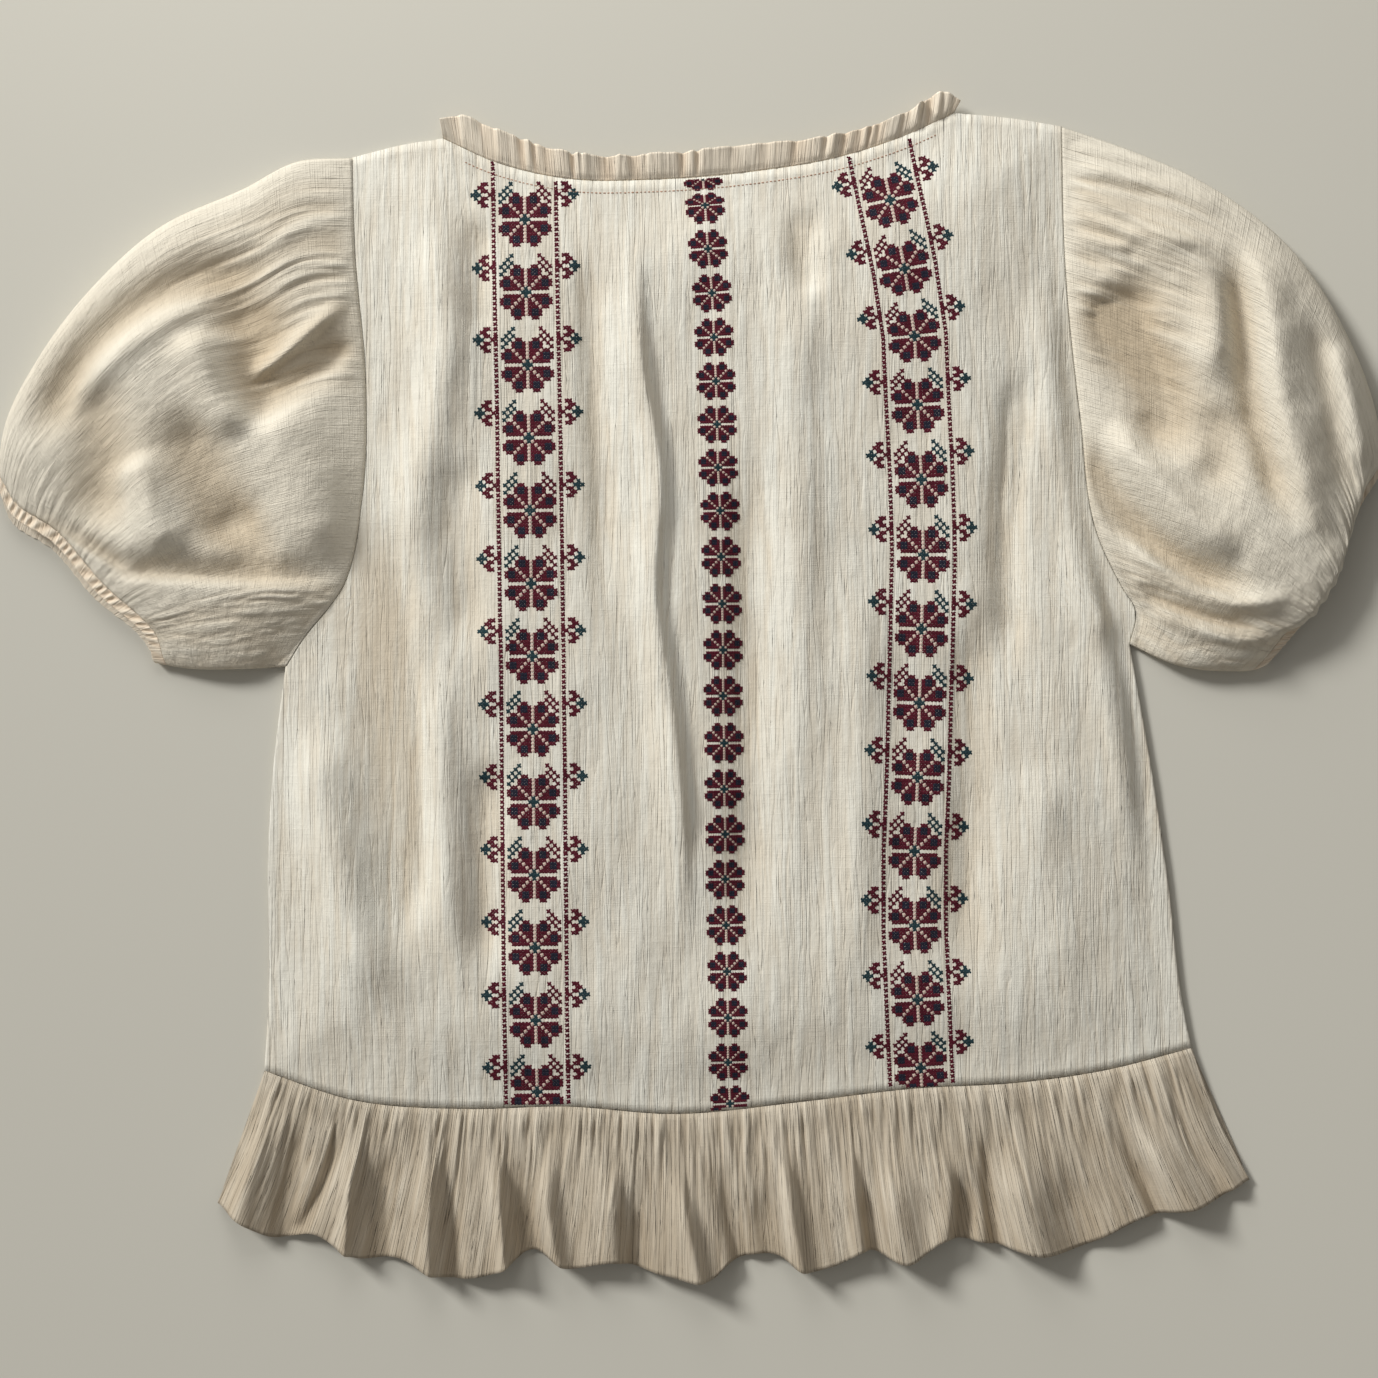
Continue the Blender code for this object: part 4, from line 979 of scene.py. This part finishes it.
def make_sleeve(node, sleeve, gauze):
    """A puff sleeve, gathered at the armhole and the cuff. Where it has a lip, its end hangs
    over the cuff and turns back under to it."""
    ring, shown = ring_places(SLEEVE_SHOWN_POINTS, SLEEVE_HIDDEN_POINTS)
    past = np.array([])
    if sleeve.lip:
        past = np.linspace(0.0, len(sleeve.lip) - 1, LIP_STEPS * len(sleeve.lip))[1:]
    share = np.concatenate([np.linspace(0.0, 1.0, SLEEVE_RINGS), np.ones(len(past))])
    reach = np.concatenate([np.zeros(SLEEVE_RINGS), past])[:, None]
    across = np.broadcast_to(ring, (len(share), len(ring)))
    s = share[:, None]
    inner = ease(*sleeve.turn, np.minimum(across, 1 - across)) * shown
    shown_back, hidden_back, scallop = sleeve.shown_back, sleeve.hidden_back, 0.0
    if sleeve.lip:
        knots = np.arange(len(sleeve.lip))
        shown_back, hidden_back, lip_height, scallop = [
            np.interp(reach, knots, column) for column in zip(*sleeve.lip)]
    back = hidden_back + (shown_back - hidden_back) * inner
    back = back + scallop * inner * np.cos(2 * np.pi * RIGHT_LIP_SCALLOPS * across)
    plan = sleeve_plan(sleeve, across, back, np.broadcast_to(s, across.shape))

    folds = sleeve.fold_strength * fold_height(plan, sleeve.folds)
    crest = puff(sleeve, across, s) + folds * ease(0.0, 0.10, s) * ease(0.0, 0.08, 1 - s)
    around, lengthwise = np.broadcast_arrays(SLEEVE_AROUND * across, SLEEVE_LENGTH * s)
    gathers = crinkle(around, lengthwise, SLEEVE_GATHER_SEED + sleeve.side, ARMHOLE_GATHER_PITCH)
    fan = armhole_fan(across, s)
    crest = crest + ARMHOLE_GATHER_HEIGHT * fan * (gathers - 0.35)
    creases = crinkle(around, lengthwise, SLEEVE_CREASE_SEED + sleeve.side, SLEEVE_CRINKLE_PITCH)
    strip = ease(UNDER_STRIP_FROM - 0.03, UNDER_STRIP_FROM + 0.03, across) * ease(0.0, 0.06, s)
    depth = (SLEEVE_CRINKLE + UNDER_STRIP_CRINKLE * strip) * ease(1.0, 0.9, s)
    crest = crest + depth * (creases - CREASE_LEVEL)
    cuff_gathers = crinkle(around, lengthwise, CUFF_GATHER_SEED + sleeve.side, CUFF_GATHER_PITCH)
    crest = crest + sleeve.cuff_gather * (cuff_gathers - 0.5) * ease(0.76, 0.97, s) * inner
    if sleeve.lip:
        crest = np.where(reach > 0, lip_height + LIP_GATHER * (cuff_gathers - 0.5) * inner, crest)
    crest = crest + puff_dents(plan, sleeve.side) * ease(0.0, 0.16, s) * ease(1.0, 0.86, s)

    edge = edge_height(s)
    over = np.maximum(edge + (crest - edge) * roundness(across), FLAT_TUBE)
    over = np.where((across == 0.0) | (across == 1.0), edge, over)
    tucked = np.minimum(across, 1 - across) < TUCKED_EDGE
    under = np.where(tucked, TUCKED_RISE * (edge - TUBE_EDGE), 0.0)
    height = np.where(shown, over, under)
    # Painted shade on the layer that shows: a deeper tone between the armhole gathers, in the under
    # strip's creases and at the bottom of the folds
    painted_shade = 0.9 * fan * (0.75 - gathers) + 0.7 * strip * (0.8 - creases)
    painted_shade = (painted_shade + fold_shade(folds, 0.8)) * shown
    points = wrap(raise_plan(plan, height), sleeve.side)
    grain = closed_grain(ring, shown, share, sleeve.side, SLEEVE_AROUND, SLEEVE_LENGTH)
    return make_shell(node, points, grain, wrap(painted_shade, sleeve.side), gauze, closed=True)


def make_cuff(node, sleeve, gauze):
    """The band on a sleeve's end, ruched by the elastic in it."""
    ring, shown = ring_places(CUFF_SHOWN_POINTS, CUFF_HIDDEN_POINTS)
    share = np.linspace(0.0, 1.0, CUFF_ROWS)
    rows = share[:, None]
    across = np.broadcast_to(ring, (len(rows), len(ring)))
    inner = ease(*sleeve.turn, np.minimum(across, 1 - across)) * shown
    start = sleeve.hidden_back + (sleeve.shown_back - sleeve.hidden_back) * inner
    pucker = np.cos(2 * np.pi * CUFF_GATHERS * across + 2.6 * np.sin(29 * across) + 3.0 * rows)
    pucker = pucker * (0.35 + 0.65 * noise(120 * across, 2.0 * rows, PUCKER_SEED))
    back = start - SEAM_OPENING - (CUFF_WIDTH - 0.6) * rows - 0.5 * pucker * rows
    plan = sleeve_plan(sleeve, across, back, np.ones(across.shape))
    over = CUFF_EDGE_HEIGHT + (CUFF_HEIGHT - CUFF_EDGE_HEIGHT) * roundness(across)
    over = over + (CUFF_BULGE * pucker - CUFF_NECK) * inner * np.sin(np.pi * rows) ** 0.6
    tucked = np.minimum(across, 1 - across) < TUCKED_EDGE
    under = np.where(tucked, TUCKED_RISE * (CUFF_EDGE_HEIGHT - WALL), 0.0)
    height = np.where(shown, over, under)
    points = wrap(raise_plan(plan, height), sleeve.side)
    # Painted shade: a deeper tone between the puckers of the elastic
    painted_shade = 0.40 * (1 - pucker) * shown
    grain = closed_grain(ring, shown, share, sleeve.side, CUFF_AROUND, CUFF_WIDTH)
    return make_shell(node, points, grain, wrap(painted_shade, sleeve.side), gauze,
                      closed=True)


def flower_stitches():
    """Column, row and colour of a whole flower's stitches, from its quarter."""
    stitches = {}
    for y, row in enumerate(FLOWER_QUARTER):
        for x, colour in enumerate(row):
            if colour == ".":
                continue
            for column in (x, -x):
                for line in (y, -y):
                    stitches[column, line] = colour
    return [(column, line, colour) for (column, line), colour in stitches.items()]


def strip_stitches(flowers, slant_colours):
    """Stitches of a wide strip: flowers, slanting lines, berries and dotted borders. Rows
    count up from the first flower's middle."""
    stitches = []
    for flower in range(flowers + 1):
        middle = -REPEAT_STITCHES * flower
        if flower < flowers:
            stitches += [(x, middle + y, colour) for x, y, colour in flower_stitches()]
        for side, colour in ((1, slant_colours[0]), (-1, slant_colours[1])):
            stitches += [(side * x, middle + y, colour) for x, y in SLANTS]
            for y, row in enumerate(BERRY_HALF):
                for x, berry in enumerate(row):
                    if berry == ".":
                        continue
                    column = -side * (BORDER_STITCH + x)
                    for line in {y, -y}:
                        stitches.append((column, middle + BERRY_ROW + line, berry))
    for dot in range(-BORDER_DOTS * flowers, BORDER_DOTS):
        row = dot * REPEAT_STITCHES / BORDER_DOTS
        stitches += [(-BORDER_STITCH, row, "r"), (BORDER_STITCH, row, "r")]
    return stitches


def strip_place(centres, row, repeat):
    """Plan point and direction of a strip's middle line at a row of stitches."""
    line = np.array(centres)
    line = np.vstack([2 * line[0] - line[1], line, 2 * line[-1] - line[-2]])
    knots = np.arange(-1, len(centres) + 1)
    f = -row / repeat
    place = np.array([np.interp(f, knots, line[:, k]) for k in range(2)])
    ahead = np.array([np.interp(f - 0.5, knots, line[:, k]) for k in range(2)])
    behind = np.array([np.interp(f + 0.5, knots, line[:, k]) for k in range(2)])
    upward = (ahead - behind) / np.linalg.norm(ahead - behind)
    return place, upward


def add_thread(points, faces, surface, place, reach, half_width, lift):
    """One rounded thread on the surface, from one end of its reach to the other."""
    width = np.array([-reach[1], reach[0]]) * half_width / np.linalg.norm(reach)
    first = len(points)
    rises = (THREAD_END_RISE, THREAD_RISE + lift, THREAD_END_RISE)
    for step, rise in zip((-1.0, 0.0, 1.0), rises):
        centre = place + step * reach
        ground = surface(centre)
        for edge, height in ((-1, -THREAD_SUNK), (0, rise), (1, -THREAD_SUNK)):
            spot = centre + edge * width
            points.append((spot[0], spot[1], ground + height + THREAD_SUNK * (1 - abs(step))))
    for k in (0, 3):
        for m in (0, 1):
            a = first + k + m
            faces.append((a, a + 3, a + 4, a + 1))


def make_stitching(name, points, faces, colours, threads):
    """A mesh of threads, each face in one of the given materials."""
    mesh = bpy.data.meshes.new(name)
    mesh.from_pydata((np.array(points) * METRES).tolist(), [], faces)
    mesh.shade_smooth()
    for thread in threads:
        mesh.materials.append(thread)
    mesh.polygons.foreach_set("material_index", colours)
    grain = mesh.uv_layers.new(name="grain")
    corners = np.array([points[v][:2] for face in faces for v in face])
    grain.data.foreach_set("uv", (corners * METRES).ravel())
    piece = add_object(name, mesh)
    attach(piece, "root")
    return piece


def make_embroidery(name, centres, repeat, half, stitches, surface, inside, threads):
    """One strip of cross stitch, worked on the back panel's surface."""
    points, faces, colours = [], [], []
    for column, row, colour in stitches:
        place, upward = strip_place(centres, row, repeat)
        sideways = np.array([upward[1], -upward[0]])
        place = place + 2 * half[0] * column * sideways
        if not inside(place):
            continue
        size = PALE_REACH if colour == "p" else STITCH_REACH
        for lean, lift in ((1, 0.0), (-1, CROSSING_LIFT)):
            reach = size * (half[0] * sideways + lean * half[1] * upward)
            add_thread(points, faces, surface, place, reach, 2 * THREAD_SHARE * half[0], lift)
            colours += 4 * [STITCH_COLOURS.index(colour)]
    return make_stitching(name, points, faces, colours, threads)


def make_strips(panel, threads, seam_thread):
    """The three strips of cross stitch, cut off by the seams at the neck and the hem, and
    the row of stitches that closes the channel at the neck."""
    tree = BVHTree.FromPolygons([v.co for v in panel.data.vertices],
                                [p.vertices[:] for p in panel.data.polygons])
    neckline = smooth_line(NECK_BACK)
    hem = smooth_line(HEM_SEAM)

    def surface(place):
        start = Vector((place[0] * METRES, place[1] * METRES, 1.0))
        hit = tree.ray_cast(start, Vector((0.0, 0.0, -1.0)))[0]
        return hit.z / METRES if hit else TOP

    def inside(place):
        top = np.interp(place[0], neckline[:, 0], neckline[:, 1])
        bottom = np.interp(place[0], hem[:, 0], hem[:, 1])
        return bottom + STITCH_CLEARANCE < place[1] < top - STITCH_CLEARANCE

    half = (STITCH_ACROSS / 2, WIDE_REPEAT / REPEAT_STITCHES / 2)
    strips = []
    for name, centres, slant_colours in (("embroidery_left", STRIP_LEFT, "tr"),
                                         ("embroidery_right", STRIP_RIGHT, "rt")):
        stitches = strip_stitches(len(centres), slant_colours)
        strips.append(make_embroidery(name, centres, REPEAT_STITCHES, half, stitches,
                                      surface, inside, threads))
    small = []
    repeat = SMALL_REPEAT / SMALL_STITCH
    for flower in range(len(STRIP_CENTRE)):
        small += [(x, y - repeat * flower, colour) for x, y, colour in flower_stitches()]
    half = (SMALL_STITCH / 2, SMALL_STITCH / 2)
    strips.append(make_embroidery("embroidery_centre", STRIP_CENTRE, repeat, half, small,
                                  surface, inside, threads))

    points, faces = [], []
    row = evenly(shifted(neckline, -CHANNEL_DEPTH)[8:-8], CHANNEL_STITCH_PITCH)
    for first, second in zip(row[:-1], row[1:]):
        reach = (second - first) * CHANNEL_STITCH / CHANNEL_STITCH_PITCH / 2
        add_thread(points, faces, surface, (first + second) / 2, reach, CHANNEL_THREAD, 0.0)
    colours = [0] * len(faces)
    strips.append(make_stitching("channel_stitches", points, faces, colours, [seam_thread]))
    return strips


def make_floor():
    """A plain pale floor that the garment lies on."""
    floor_mesh = bpy.data.meshes.new("floor")
    half = FLOOR_SIZE / 2
    corners = [(-half, -half, 0.0), (half, -half, 0.0), (half, half, 0.0), (-half, half, 0.0)]
    floor_mesh.from_pydata(corners, [], [(0, 1, 2, 3)])
    floor_mesh.uv_layers.new(name="grain")
    floor = add_object("floor", floor_mesh)
    floor.location.z = -FLOOR_DROP
    paint = Nodes("floor", roughness=1.0, sheen=0.0, specular=0.0)
    paint.shader.inputs["Base Color"].default_value = (0.61, 0.595, 0.535, 1.0)
    floor_mesh.materials.append(paint.material)


def make_light(name, kind, energy, direction):
    """A light that shines from the given direction."""
    data = bpy.data.lights.new(name, kind)
    data.energy = energy
    data.color = DAYLIGHT
    light = add_object(name, data)
    light.rotation_euler = Vector(direction).to_track_quat("Z", "Y").to_euler()
    return light


def make_lights():
    """Soft low light from the upper left, a window above the neck and pale light all round."""
    key = make_light("key", "SUN", KEY_ENERGY, (-0.70, 0.57, 0.50))
    key.data.angle = math.radians(KEY_SPREAD)
    window = make_light("window", "AREA", WINDOW_ENERGY, (-0.30, 0.85, 0.62))
    window.data.size = WINDOW_SIZE
    window.location = (-0.30, 0.95, 0.62)
    world = bpy.data.worlds.new("studio")
    world.use_nodes = True
    sky = world.node_tree.nodes["Background"]
    sky.inputs["Color"].default_value = (1.0, 0.96, 0.90, 1.0)
    sky.inputs["Strength"].default_value = SKY_STRENGTH
    bpy.context.scene.world = world


def make_camera():
    """A camera that looks straight down at the garment, framed as the photograph is."""
    camera_data = bpy.data.cameras.new("camera")
    camera_data.lens = CAMERA_LENS
    camera_data.sensor_width = CAMERA_SENSOR
    camera = add_object("camera", camera_data)
    distance = PHOTO_PIXEL * PHOTO_SIZE * CAMERA_LENS / CAMERA_SENSOR
    camera.location = (0.0, -CAMERA_SHIFT_DOWN * METRES, (distance + FOCUS_HEIGHT) * METRES)
    bpy.context.scene.camera = camera


def main():
    """Makes the cloth, the embroidery, the light and the camera."""
    # Each gauze's second colour is the tone of its painted shade in creases and folds, and also of its
    # random patches.
    gauze = make_gauze("gauze", (0.80, 0.785, 0.71), (0.60, 0.50, 0.365),
                       GauzeRelief(crease=0.24, thread=0.16, slub=0.05, crumple=0.8))
    sleeve_gauze = make_gauze("sleeve_gauze", (0.75, 0.705, 0.605), (0.48, 0.37, 0.235),
                              GauzeRelief(crease=0.08, thread=0.06, slub=0.18, crumple=1.3))
    # The ruffles' gauze is deeper-toned than the body's: partly a tone of its own, partly painted shade
    # of their gathers.
    ruffle_gauze = make_gauze("ruffle_gauze", (0.665, 0.60, 0.495), (0.35, 0.275, 0.185),
                              GauzeRelief(crease=0.34, thread=0.20, slub=0.05, crumple=0.4))
    neck_gauze = make_gauze("neck_gauze", (0.88, 0.80, 0.67), (0.70, 0.52, 0.35),
                            GauzeRelief(crease=0.25, thread=0.15, slub=0.05, crumple=0.3))
    # In the order of the stitch colours
    threads = [
        make_thread("burgundy_thread", (0.105, 0.009, 0.022), (0.062, 0.0055, 0.013)),
        make_thread("navy_thread", (0.019, 0.020, 0.038), (0.011, 0.012, 0.022)),
        make_thread("teal_thread", (0.020, 0.050, 0.060), (0.013, 0.032, 0.040)),
        make_thread("pale_thread", (0.66, 0.52, 0.45), (0.58, 0.45, 0.38)),
    ]
    seam_thread = make_thread("seam_thread", (0.50, 0.31, 0.23), (0.40, 0.25, 0.18))
    front = make_front_panel(gauze)
    back = make_back_panel(gauze)
    hem_back = make_hem_ruffle_back(ruffle_gauze)
    hem_front = make_hem_ruffle_front(ruffle_gauze)
    neck_back = make_neck_ruffle_back(neck_gauze)
    neck_front = make_neck_ruffle_front(neck_gauze)
    sleeves = [make_sleeve("sleeve_left", LEFT_SLEEVE, sleeve_gauze),
               make_sleeve("sleeve_right", RIGHT_SLEEVE, sleeve_gauze)]
    cuffs = [make_cuff("cuff_left", LEFT_SLEEVE, neck_gauze),
             make_cuff("cuff_right", RIGHT_SLEEVE, neck_gauze)]
    strips = make_strips(back, threads, seam_thread)
    make_floor()
    make_lights()
    make_camera()
    bpy.context.scene.view_settings.view_transform = "Standard"
    bpy.context.view_layer.update()


main()
